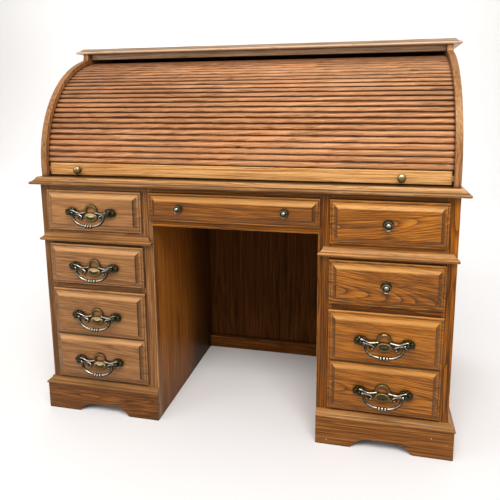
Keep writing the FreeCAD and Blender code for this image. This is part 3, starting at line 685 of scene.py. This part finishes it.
railLow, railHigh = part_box("centre_rails")
bayLow, bayHigh = opening("centre_drawer_front")[2:]
rails = [easedBoard((railLow.x, railLow.y, bottom), (railHigh.x, railHigh.y, top), alongX, frameSizes["ease"])
         for bottom, top in ((railLow.z, bayLow), (bayHigh, railHigh.z))]
makePiece("centre_rails", [grained(rail) for rail in rails], wood["rightFrameOak"])
for node, look in (("kneehole_rail", "kneeRailOak"), ("roll_fascia", "fasciaOak")):
    makePiece(node, [grained(easedBoard(*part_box(node), alongX, frameSizes["trimEase"]))], wood[look])
print("case boards made")


# Drawer fronts

# dirt is the width of a dark band at the foot of each step, a painted shade
frontSizes = dict(
    lip=7 * mm, gap=0.3 * mm, chamfer=0.5 * mm, round=3 * mm, flat=7 * mm, tuck=2 * mm, step=1 * mm,
    sunk=0.5 * mm, bevelRun=15 * mm, bevelRise=7.5 * mm, hollow=0.5 * mm, field=3.0 * mm, split=3 * mm,
    ease=0.9 * mm, bendShare=0.3, rimShare=3, dirt=3.0 * mm, overlap=8 * mm, centreOverlap=6 * mm,
    clearance=1.5 * mm, tenon=10 * mm, tenonSeat=0.2 * mm, footShade=1.3, roundSteps=6, bevelSteps=6)
# -1 marks dark lines at the foot of each step and round the field, a painted shade; the rest is wear on eased
# edges
frontWearAndShade = dict(lipBack=[0.2, 0.4], lipRound=0.35, shelf=[0.0, -1.0, -1.0], step=[-1.0, 0.0, 0.35, 0.1],
                 edge=[-1.0, 0.0, 0.5, 0.3], rim=[0.0])
frontDraws = dict(start=(0, 30), shift=(-0.03, 0.03), heart=(0.05, 0.09), tone=(-0.5, 0.5))
frontStray = dict(tilt=(-0.12, 0.12), taper=(0.03, 0.07), depth=0.3)
frontTones = dict(right_middle=1.2, centre=1.5, left_file=0.2, right_file=-0.4)  # planks that took more stain
frontLively = dict(left=0.35, centre=0.35, right=1.0)  # how much the grain strays from the plank's length
frontShift = dict(centre=0.09, left_upper=0.07, left_middle=0.06, right_file=0.08)  # sawn beside the heart
everyEdge = (1, 1, 1, 1)


def lipProfile(s):
    # From the lip's back edge round to the flat at its front.
    inset, reach, wear = quarterRound(s["round"], s["roundSteps"])
    back = faceY - s["gap"]
    face = back - s["lip"]
    chamfer = [[s["chamfer"], back], [0.0, back - s["chamfer"]]]
    edge = columns(inset[::-1], face + reach[::-1])
    shelf = [[s["flat"] - s["dirt"], face], [s["flat"], face], [s["flat"] + s["tuck"], face]]
    profile = joined(chamfer, edge, shelf)
    return profile, joined(frontWearAndShade["lipBack"], frontWearAndShade["lipRound"] * wear[::-1], frontWearAndShade["shelf"])


def panelProfile(s):
    # A step, a slightly hollow bevel, and a second step with an eased edge up to the field.
    foot = faceY - s["gap"] - s["lip"]
    shelf = foot - s["step"]
    crest = shelf - s["bevelRise"]
    field = crest - s["field"]
    run, e = s["bevelRun"], s["ease"]
    bend = s["bendShare"] * e  # half-way round an eased edge
    t = np.append(np.linspace(0, 1, s["bevelSteps"])[1:-1], 1 - s["dirt"] / run)
    hollow = s["hollow"] * np.sin(math.pi * t)
    step = [[0.0, foot + s["sunk"]], [0.0, shelf + e], [bend, shelf + bend], [e, shelf]]
    bevel = columns(e + (run - e) * t, shelf - (shelf - crest) * t + hollow)
    edge = [[run, crest], [run, field + e], [run + bend, field + bend], [run + e, field]]
    rim = [[run + s["rimShare"] * e, field]]
    wear = joined(frontWearAndShade["step"], np.zeros(len(bevel)), frontWearAndShade["edge"], frontWearAndShade["rim"])
    return joined(step, bevel, edge, rim), wear


def makeFront(name, panels, overlapX):
    # A lipped board, its raised panels and the tenon that goes into the opening, all of one plank.
    s = frontSizes
    node = name + "_drawer_front"
    low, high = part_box(node)
    profile, wear = lipProfile(s)
    surfaces = [stackedRectangles(low, high, profile, alongY, everyEdge, wear)]
    profile, wear = panelProfile(s)
    height = (high.z - low.z) / panels
    for k in range(panels):
        below = s["flat"] if k == 0 else s["split"]
        above = s["flat"] if k == panels - 1 else s["split"]
        panelLow = (low.x + s["flat"], low.y, low.z + k * height + below)
        panelHigh = (high.x - s["flat"], high.y, low.z + (k + 1) * height - above)
        surfaces.append(stackedRectangles(panelLow, panelHigh, profile, alongY, everyEdge, wear))
    inX, inZ = overlapX + s["clearance"], s["overlap"] + s["clearance"]
    tenonLow = (low.x + inX, faceY - s["gap"] - s["tenonSeat"], low.z + inZ)
    surfaces.append(easedBoard(tenonLow, (high.x - inX, high.y, high.z - inZ), alongX))
    plank = drawn(frontDraws)
    plank["shift"] += frontShift.get(name, 0.0)
    plank["tone"] += frontTones.get(name, 0.0)
    lively = frontLively[name.split("_")[0]]
    tilt = lively * chance.uniform(*frontStray["tilt"])
    taper = lively * chance.choice([-1, 1]) * chance.uniform(*frontStray["taper"])
    for surface in surfaces:
        grained(surface, **plank)
        x, y, z = surface["points"].T
        x = x - (low.x + high.x) / 2
        surface["grain"][:, 1] = plank["shift"] + z - (low.z + high.z) / 2 + tilt * x
        surface["grain"][:, 2] = plank["heart"] + frontStray["depth"] * (y - low.y) + taper * x
        downwards = (high.z - z) / (high.z - low.z)
        surface["tone"] += (panels - 1) * s["footShade"] * downwards  # a tall front darkens downwards
    material = wood["leftFrontOak" if name.startswith("left") else "rightFrontOak"]
    makePiece(node, surfaces, material, name + "_drawer")


drawerNames = [f"{side}_{level}" for side in hands for level in ("upper", "middle", "file")]
for name in drawerNames:
    makeFront(name, 2 if name.endswith("file") else 1, frontSizes["overlap"])
makeFront("centre", 1, frontSizes["centreOverlap"])
print("drawer fronts made")


# Tambour

rollJoint = next(joint for joint in frame["joints"] if joint["name"] == "tambour_roll")
slatSizes = dict(
    count=27, outer=337 * mm, thickness=10 * mm, shoulder=6 * mm, pitch=17.9 * mm, gap=1.3 * mm,
    canvas=0.8 * mm, seat=0.3 * mm, bow=0.2 * mm, flatness=2.4, facePoints=17, stations=25, dirty=0.88,
    climb=0.2, perPlank=9, slip=12 * mm, slope=-0.05)
# cap paints the cap's shadow on the slats beneath it; top, ends and left darken the slats towards the top,
# the ends and the left
slatShades = dict(top=2.0, ends=1.0, left=1.5, cap=150.0, capFrom=0.74, capPower=1.5)
slatDraws = dict(start=(0, 30), heart=(0.05, 0.09))
bowDraws = dict(rate=(3, 7), phase=(0, 6))


def makeSlats():
    # Flat back, straight shoulders and a face that falls away as a power of the place across it, carried
    # along x with a slight bow of each slat's own. Painted shade darkens the edges of each face, and climbs
    # further up the lower flank of a higher slat.
    s = slatSizes
    low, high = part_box("tambour_slats")
    axisY, axisZ = rollJoint["pos_m"][1:]
    back = s["outer"] - s["thickness"]
    step = s["pitch"] / s["outer"]
    first = math.asin((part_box("lead_rail")[1].z + s["seat"] - axisZ) / (back - s["canvas"]))
    half = back * math.tan(step / 2) - s["gap"] / 2
    place = np.sin(np.linspace(-quarter, quarter, s["facePoints"]))
    across = joined([half, -half], half * place)
    fall = (s["thickness"] - s["shoulder"]) * np.abs(place) ** s["flatness"]
    depth = joined([back, back], s["outer"] - fall)
    rubbed = 1 - place ** 2
    station = np.linspace(low.x, high.x, s["stations"])
    surfaces = []
    for k in range(s["count"]):
        inPlank = k % s["perPlank"]
        if inPlank == 0:
            plank = drawn(slatDraws)
        wave = drawn(bowDraws)
        bow = s["bow"] * np.sin(station * wave["rate"] + wave["phase"])
        angle = first + step * (k + 0.5)
        climbed = k / s["count"]
        dirty = (place > s["dirty"]) | (place < s["climb"] * climbed - s["dirty"])
        wear = joined([0.0, 0.0], np.where(dirty, -1.0, rubbed))
        out = depth - np.abs(bow)[:, None]
        y = axisY - out * math.cos(angle) + across * math.sin(angle)
        z = axisZ + out * math.sin(angle) + across * math.cos(angle)
        start = plank["start"] + chance.uniform(-1, 1) * s["slip"]
        slat = grained(skin(gathered((station[:, None], y, z)), wear), start=start, heart=plank["heart"])
        x = slat["points"][:, 0]
        fromHeart = (inPlank - s["perPlank"] / 2) * s["pitch"]
        slat["grain"][:, 1] = fromHeart + np.tile(across, len(station)) + s["slope"] * x
        slat["grain"][:, 2] = plank["heart"] + np.tile(depth, len(station)) - back
        toLeft = x / low.x
        shade = slatShades
        # painted shadow of the cap on the highest slats
        capShadow = max(0.0, climbed - shade["capFrom"]) ** shade["capPower"]
        slat["tone"] += shade["top"] * climbed + shade["cap"] * capShadow
        slat["tone"] += shade["ends"] * toLeft ** 2 + shade["left"] * np.clip(toLeft, 0, 1)
        surfaces.append(slat)
    makePiece("tambour_slats", surfaces, wood["slatOak"], "tambour")


leadSizes = dict(half=591 * mm, tongue=16 * mm, tuck=2 * mm, inset=0.8 * mm, thickness=10 * mm, ease=2.0 * mm,
                 lift=2.5 * mm, recess=8 * mm, shadeLeft=2.5)


def makeLeadRail():
    # One eased board rebated along its foot, with a short tongue at each end that runs in the groove.
    s = leadSizes
    low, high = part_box("lead_rail")
    half, middle = s["half"], (low.z + high.z) / 2
    face = easedBoard((-half, low.y, low.z + s["lift"]), (half, high.y, high.z), alongX, s["ease"])
    foot = easedBoard((-half, low.y + s["recess"], low.z), (half, high.y, middle), alongX)
    boards = [grained(face), grained(foot)]
    face["tone"] = s["shadeLeft"] * np.clip(-face["points"][:, 0] / half, 0, 1) ** 2
    for x0, x1 in ((low.x, s["tuck"] - half), (half - s["tuck"], high.x)):
        tongue = easedBoard((x0, low.y + s["inset"], middle - s["tongue"] / 2),
                            (x1, low.y + s["thickness"], middle + s["tongue"] / 2), alongX)
        boards.append(grained(tongue))
    makePiece("lead_rail", boards, wood["leadRailOak"], "tambour")


makeSlats()
makeLeadRail()
print("tambour made")


# Brass pulls and knobs, in millimetres; places are x, z and reach from the drawer's face

pullSizes = dict(
    post=63.0, postBall=7.5, ballOpen=0.05, postSides=28, axisOut=18.0, neck=5.2,
    postBase=[(9.0, 0.0), (9.0, 1.8), (8.2, 3.0), (6.2, 3.4), (5.2, 4.4), (4.8, 8.0)],
    balls=[(73, 0.5, 7.4, 8.6, 0.86, "end"), (36.5, -18.0, 6.2, 3.9, 1.0, "lobe"),
           (67, 8.0, 6.0, 5.4, 1.0, "lobe"), (66, -8.0, 5.0, 5.0, 1.0, "lobe"),
           (76, -6.5, 5.5, 4.4, 1.0, "lobe"), (57, 7.5, 5.0, 4.8, 1.0, "lobe"),
           (51, 6.5, 4.5, 3.4, 1.0, "lobe")],  # place, radius, squash, kind
    arm=[(66, 4.0, 6.5), (58, 3.0, 6.5), (50, -0.5, 6.2), (42, -4.0, 6.0), (33, -4.5, 5.6), (24, -3.0, 5.2),
         (16, -1.5, 4.8)],
    scroll=[(61, -14.0, 5.2), (56.5, -10.0, 5.8), (49, -7.8, 6.2), (41, -8.0, 6.4), (33, -11.0, 6.4),
            (28.5, -16.0, 6.2), (31.0, -20.8, 6.0), (36.0, -20.6, 6.0)],
    armWire=(4.6, 3.6, 30), scrollWire=(4.0, 2.8, 40),
    ring=17.5, ringRise=3.0, ringOut=3.4, ringSpan=(-38, 218, 40), ringWire=3.7, ringSwell=(0.85, 0.25),
    ringBare=0.75)
# how brightly each part is rubbed, also a painted highlight where it faces up and forward
pullPolishAndHighlight = dict(ring=0.6, arm=0.95, scroll=1.25, end=0.4, lobe=0.55,
                  postBase=[0, 0.3, 0.6, 0.2, 0, 0], postBall=(0.1, 0.45, 10))
bossSizes = dict(half=(22.0, 13.2), drop=15.0, sides=72, flutes=12, flute=0.35, evenWear=0.45,
                 rubbed=0.9, rubbedFrom=0.3, bare=0.85, bareFrom=0.5)
bossRings = dict(share=[1.0, 1.0, 0.97, 0.90, 0.80, 0.66, 0.5, 0.32, 0.16, 0.03],
                 reach=[0.0, 2.6, 4.6, 6.1, 6.3, 5.3, 5.2, 5.8, 6.5, 6.8],
                 wear=[0.0, 0.2, 0.7, 1.0, 0.8, 0.2, 0.1, 0.3, 0.5, 0.6],
                 bare=[0.3, 0.6, 0.9, 1.0, 0.9, 0.3, 0.15, 0.2, 0.3, 0.4])  # dark in the dish


def near(centre, points):
    # Points of x, z and reach in millimetres, set about a pull's centre on the drawer's face.
    points = np.asarray(points, float) * mm
    return np.array(centre) + columns(points[..., 0], -points[..., 2], points[..., 1])


def boss(centre):
    # An oval shell: rings of a rim, a shallow dish and a low crown, fluted from the middle out. Every shell
    # is rubbed more above, a painted highlight, and the left pulls' shells are bright and bare above, a
    # painted reflection.
    s = bossSizes
    share, reach, wear, bare = (np.array(values)[:, None] for values in bossRings.values())
    angle = circle(s["sides"])
    up = np.sin(angle)
    # painted highlight: more rubbed towards the top
    wear = wear * (s["evenWear"] + (1 - s["evenWear"]) * up)
    bare = np.broadcast_to(bare, wear.shape)
    # painted reflection: the left pulls' shells are bright and bare above
    if centre[0] < 0:
        wear = wear + s["rubbed"] * (1 - share ** 4) * np.clip(up + s["rubbedFrom"], 0, 1)
        bare = np.maximum(bare, s["bare"] * np.clip(up + s["bareFrom"], 0, 1))
    flute = s["flute"] * np.cos(s["flutes"] * angle) * (share * (1 - share) * 4)
    width, height = s["half"]
    points = gathered((width * share * np.cos(angle), height * share * up - s["drop"], reach + flute))
    shell = skin(near(centre, points), wear)
    shell["tone"] = bare.ravel()
    return shell


boltSizes = dict(profile=[(0.2, -2.5), (3.0, -2.5), (3.8, -2.0), (4.0, -1.0), (4.0, 0.3)], sides=20, wear=0.5)


def boltHead(x, z):
    # A low round head against the inside of the front.
    place = (x, faceY + frontSizes["tenon"], z)
    return turned(np.array(boltSizes["profile"]) * mm, place, boltSizes["wear"], boltSizes["sides"])


def pullSurfaces(centre):
    # Boss, ring, and on each side an arm, a scroll, the balls, and a post with its rosette.
    s, polish = pullSizes, pullPolishAndHighlight
    theta = np.radians(np.linspace(*s["ringSpan"]))
    ringPath = gathered((s["ring"] * np.cos(theta), s["ringRise"] + s["ring"] * np.sin(theta), s["ringOut"]))
    even, swell = s["ringSwell"]
    ringWire = s["ringWire"] * (even + swell * np.sin(theta).clip(0)) * mm
    ring = tube(near(centre, ringPath), ringWire, polish["ring"])
    ring["tone"] = np.full(len(ring["points"]), s["ringBare"])
    surfaces = [boss(centre), ring]
    ballWear = np.linspace(*polish["postBall"])
    ballTurn = np.linspace(math.asin(s["neck"] / s["postBall"]), math.pi - s["ballOpen"], len(ballWear))
    crown = s["postBall"] * columns(np.sin(ballTurn), -np.cos(ballTurn)) + (0, s["axisOut"])
    postProfile = joined(s["postBase"], crown) * mm
    postWear = joined(polish["postBase"], ballWear)[:, None]
    for side in (-1, 1):
        for key in ("arm", "scroll"):
            wire = np.linspace(*s[key + "Wire"]) * mm
            path = smoothPath(np.array(s[key]) * (side, 1, 1), len(wire))
            surfaces.append(tube(near(centre, path), wire, polish[key]))
        for x, z, out, radius, squash, key in s["balls"]:
            surfaces.append(ball(near(centre, (side * x, z, out)), radius * mm, polish[key], squash))
        post = near(centre, (side * s["post"], 0, 0))
        surfaces.append(turned(postProfile, post, postWear, s["postSides"]))
        surfaces.append(boltHead(post[0], post[2]))
    for surface in surfaces:  # only the boss and the ring show bare brass
        surface.setdefault("tone", np.zeros(len(surface["points"])))
    return surfaces


bailSizes = dict(half=51.0, drop=40.0, pin=64.0, pinRadius=2.4, wire=4.1, growOver=10.0, turn=4.0,
                 roundness=2.35, bead=2.6, beadHalf=2.4, beadPitch=8.6, groove=1.5, lowFrom=0.9, sides=18,
                 polish=1.05, beadPolish=0.5, grooveDull=1.2, pinSteps=6, bendSteps=7, ovalSteps=140,
                 beads=[-1, 0, 1], grooves=[-1.5, -0.5, 0.5, 1.5])  # both in pitches from the middle


def bailSurface(centre):
    # A pin, a small bend, half an oval and the same again mirrored; three beads swell the wire in the middle.
    s = bailSizes
    half, turn, drop, pitch = s["half"], s["turn"], s["drop"], s["beadPitch"]
    pinPath = columns(np.linspace(-s["pin"], -half - turn, s["pinSteps"]), np.zeros(s["pinSteps"]))
    bend = np.linspace(quarter, 0, s["bendSteps"])[1:]
    bendPath = columns(-half - turn + turn * np.cos(bend), turn * (np.sin(bend) - 1))
    t = np.linspace(0, quarter, s["ovalSteps"])[1:]
    power = 2 / s["roundness"]
    oval = columns(-half * np.cos(t) ** power, -turn - (drop - turn) * np.sin(t) ** power)
    leftHalf = joined(pinPath, bendPath, oval)
    path = joined(leftHalf, leftHalf[-2::-1] * (-1, 1))
    x, z = path[:, :1], path[:, 1]
    low = z < -drop * s["lowFrom"]
    beads = low * np.exp(-((x - np.array(s["beads"]) * pitch) / s["beadHalf"]) ** 4).sum(1)
    dull = low * np.exp(-((x - np.array(s["grooves"]) * pitch) / s["groove"]) ** 4).sum(1)
    radius = s["pinRadius"] + (s["wire"] - s["pinRadius"]) * np.clip(-z / s["growOver"], 0, 1)
    radius = radius + s["bead"] * beads
    polish = s["polish"] + s["beadPolish"] * beads - s["grooveDull"] * dull
    points = gathered((path[:, 0], z, 0.0))
    return tube(near(centre, points), radius * mm, polish[:, None], s["sides"])


knobSizes = dict(
    drawer=dict(plate=15.0, rim=3.0, neck=5.4, neckEnd=9.0, head=12.6, girth=16.0, reach=22.0, ringed=True,
                bare=0.1),
    centre=dict(plate=13.0, rim=2.5, neck=4.9, neckEnd=8.0, head=11.0, girth=14.0, reach=20.0, ringed=True,
                bare=0.1),
    rail=dict(plate=9.0, rim=2.0, neck=4.4, neckEnd=7.0, head=11.5, girth=13.0, reach=19.0, ringed=False,
              bare=0.8))
plateShares = [(1.0, 0.0), (1.0, 0.45), (0.94, 0.8), (0.86, 0.9), (0.78, 0.62), (0.70, 0.70), (0.60, 1.0)]
ringShares = [(0.99, 0.22), (0.94, 0.36), (0.87, 0.38), (0.80, 0.28), (0.75, 0.10), (0.70, 0.10)]
knobShape = dict(flare=1.15, flareEnd=1.6, waist=0.9, waistBack=2.0, under=0.72, shoulder=0.94,
                 shoulderBack=1.2, tip=0.03,
                 ringedDome=(0.66, 0.15), plainDome=(0.98, 0.10))  # where a dome starts, in heads and rises
# the ring and the dome are rubbed bright, and they are also painted highlights
knobPolishAndHighlight = dict(plate=[0.0, 0.3, 0.6, 0.6, 0.0, 0.3, 0.6], neck=[0.2, 0.0, 0.0, 0.1], under=[0.3, 0.5, 1.0],
                  ring=[1.3, 1.7, 1.7, 1.0, 0.0, 0.0], dome=[1.2] * 9)


def knobSurface(place, size):
    # A plate with a bead near its rim, a waisted neck, and a head with a raised ring round a low dome, or a
    # dome alone.
    k = knobShape
    plate, rim, neck, head = size["plate"], size["rim"], size["neck"], size["head"]
    girth, neckEnd = size["girth"], size["neckEnd"]
    rise = size["reach"] - girth
    foot, seat = k["ringedDome"] if size["ringed"] else k["plainDome"]
    turn = np.linspace(0, quarter - k["tip"], len(knobPolishAndHighlight["dome"]))
    bulge = seat + (1 - seat) * np.sin(turn)
    parts = dict(
        plate=np.array(plateShares) * (plate, rim),
        neck=[(neck * k["flare"], rim * k["flare"]), (neck, rim * k["flareEnd"]),
              (neck * k["waist"], neckEnd - k["waistBack"]), (neck, neckEnd)],
        under=[(head * k["under"], (neckEnd + girth) / 2), (head * k["shoulder"], girth - k["shoulderBack"]),
               (head, girth)],
        ring=np.array(ringShares) * (head, rise) + (0, girth),
        dome=columns(head * foot * np.cos(turn), girth + rise * bulge))
    if not size["ringed"]:
        del parts["ring"]
    profile = joined(*parts.values())
    polish = joined(*[knobPolishAndHighlight[key] for key in parts])[:, None]
    slope = unit(np.gradient(profile, axis=0))
    return turned(profile * mm, place, polish * facingRubAndLight(turnedNormal(slope[:, 1], slope[:, 0])))


pulls = {}
for joint in frame["joints"]:
    if joint["name"].endswith("_bail_swing"):
        x, y, z = joint["pos_m"]
        bail = joint["child"]
        makePiece(bail, [bailSurface((x, y, z))], pullBrass, bail)
        drawer = joint["parent"].replace("_drawer", "")
        pulls.setdefault(drawer, []).extend(pullSurfaces((x, y + pullSizes["axisOut"] * mm, z)))
for drawer, surfaces in pulls.items():
    makePiece(drawer + "_pull", surfaces, pullBrass, drawer + "_drawer")

for node, kind, body, seat in (
        ("right_upper_knob", "drawer", "right_upper_drawer", "right_upper_drawer_front"),
        ("right_middle_knob", "drawer", "right_middle_drawer", "right_middle_drawer_front"),
        ("centre_drawer_knobs", "centre", "centre_drawer", "centre_drawer_front"),
        ("lead_rail_knobs", "rail", "tambour", "lead_rail")):
    low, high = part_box(node)
    size = knobSizes[kind]
    widest = max(size["plate"], size["head"]) * mm
    places = sorted({round(low.x + widest, 5), round(high.x - widest, 5)})  # one knob or two
    z = (low.z + high.z) / 2
    surfaces = [knobSurface((x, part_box(seat)[0].y, z), size) for x in places]
    if kind != "rail":
        surfaces += [boltHead(x, z) for x in places]
    for surface in surfaces:
        surface["tone"] = np.full(len(surface["points"]), size["bare"])
    makePiece(node, surfaces, knobBrass, body)
print("hardware made")


# Solid pieces that keep their shape

def dress(material, *nodes):
    for node in nodes:
        for holder in frame["nodes"][node].material_slots:
            holder.material = material


dress(wood["sideOak"], "left_outer_side", "right_outer_side")
dress(wood["rollSideOak"], "left_roll_side", "right_roll_side")
dress(wood["wallOak"], "left_inner_side", "right_inner_side")
dress(wood["backVeneer"], "kneehole_panel", "pedestal_backs", "roll_back")
dress(wood["insideWood"], "pedestal_floors", *[side + "_drawer_runners" for side in ("centre", *hands)],
      *[name + "_drawer_box" for name in ("centre", *drawerNames)])
dress(wood["unitWood"], "pigeonhole_unit")
dress(tambourCanvas, "tambour_canvas")
print("solid pieces dressed")


# Ground, light and camera

groundSizes = dict(half=30.0, back=4.0, bend=2.0, height=5.0, steps=13)
paperLook = dict(mottle=(3.0, 3.0, 3.0), dark=(0.815, 0.797, 0.785), light=(0.835, 0.817, 0.805), rough=0.85,
                 rougher=0.1, bump=0.05 * mm, shine=0.1)


def paleGround(name):
    # Pale paper with a very slight mottle.
    r = Recipe(bpy.data.materials.new(name))
    p = paperLook
    cloud = r.noise(r.place(), p["mottle"], 3.0)
    colour = r.blend(cloud, p["dark"], p["light"])
    roughness = r.plus(p["rough"], r.times(cloud, p["rougher"]))
    return r.finish(colour, roughness, cloud, p["bump"], {"Specular IOR Level": p["shine"]})


def makeGround():
    # A floor that curves up into a wall: a profile of a line, a quarter circle and a line carried along x.
    s = groundSizes
    turn = np.linspace(0, quarter, s["steps"])
    y = joined([-s["half"]], s["back"] + s["bend"] * np.sin(turn), [s["back"] + s["bend"]])
    z = joined([0.0], s["bend"] * (1 - np.cos(turn)), [s["height"]])
    points = gathered((np.array([[-s["half"]], [s["half"]]]), y, z))
    index = np.arange(2 * len(y)).reshape(2, -1)
    quads = columns(index[0, :-1], index[1, :-1], index[1, 1:], index[0, 1:])
    mesh = bpy.data.meshes.new("Ground")
    mesh.from_pydata(points.reshape(-1, 3).tolist(), [], quads.tolist())
    mesh.shade_smooth()
    mesh.materials.append(paleGround("PaleGround"))
    ground = bpy.data.objects.new("Ground", mesh)
    bpy.context.scene.collection.objects.link(ground)


def makeWorld(skyTop=0.75, horizon=0.5, below=0.3):
    # Soft light all round, brightest from above.
    r = Recipe(bpy.data.worlds.new("SoftStudio"))
    bpy.context.scene.world = r.holder
    lift = r.math("MULTIPLY_ADD", r.parts(r.place("Generated"))[2], 0.5, 0.5)
    shade = r.ramp(lift, *[(strength,) * 3 for strength in (below, horizon, skyTop)])
    r.node("OutputWorld", {0: r.node("Background", {0: shade}).outputs[0]})


lights = dict(
    Key=dict(place=(0.5, -2.3, 3.2), aim=(0.0, 0.0, 0.6), size=(2.4, 1.4), power=112.0),
    Fill=dict(place=(-2.6, -2.4, 1.6), aim=(0.0, 0.0, 0.5), size=(1.8, 1.8), power=20.0),
    Backdrop=dict(place=(-1.8, 2.2, 4.2), aim=(-1.8, 6.0, 1.2), size=(6.0, 1.2), power=200.0))


def makeLight(name, look):
    lamp = bpy.data.lights.new(name, "AREA")
    lamp.shape = "RECTANGLE"
    lamp.size, lamp.size_y = look["size"]
    lamp.energy = look["power"]
    holder = bpy.data.objects.new(name, lamp)
    holder.location = look["place"]
    toward = Vector(look["aim"]) - Vector(look["place"])
    holder.rotation_euler = toward.to_track_quat("-Z", "Y").to_euler()
    bpy.context.scene.collection.objects.link(holder)


cameraLook = dict(place=(0.3881, -1.62875, 0.9631), yaw=12.05, pitch=-9.04, roll=-0.17, lens=35.24,
                  sensor=36.0, shiftX=-0.0388, shiftY=-0.1255)


def makeCamera(look):
    yaw, pitch = math.radians(look["yaw"]), math.radians(look["pitch"])
    ahead = Vector((-math.sin(yaw) * math.cos(pitch), math.cos(yaw) * math.cos(pitch), math.sin(pitch)))
    right = Vector((math.cos(yaw), math.sin(yaw), 0))
    up = right.cross(ahead)
    turn = Matrix((right, up, -ahead)).transposed() @ Matrix.Rotation(math.radians(look["roll"]), 3, "Z")
    lens = bpy.data.cameras.new("Camera")
    lens.sensor_width, lens.lens = look["sensor"], look["lens"]
    lens.shift_x, lens.shift_y = look["shiftX"], look["shiftY"]
    camera = bpy.data.objects.new("Camera", lens)
    camera.matrix_world = Matrix.Translation(look["place"]) @ turn.to_4x4()
    bpy.context.scene.collection.objects.link(camera)
    bpy.context.scene.camera = camera


makeGround()
makeWorld()
for name, look in lights.items():
    makeLight(name, look)
makeCamera(cameraLook)
bpy.context.scene.view_settings.view_transform = "Standard"
print("ground, light and camera set")
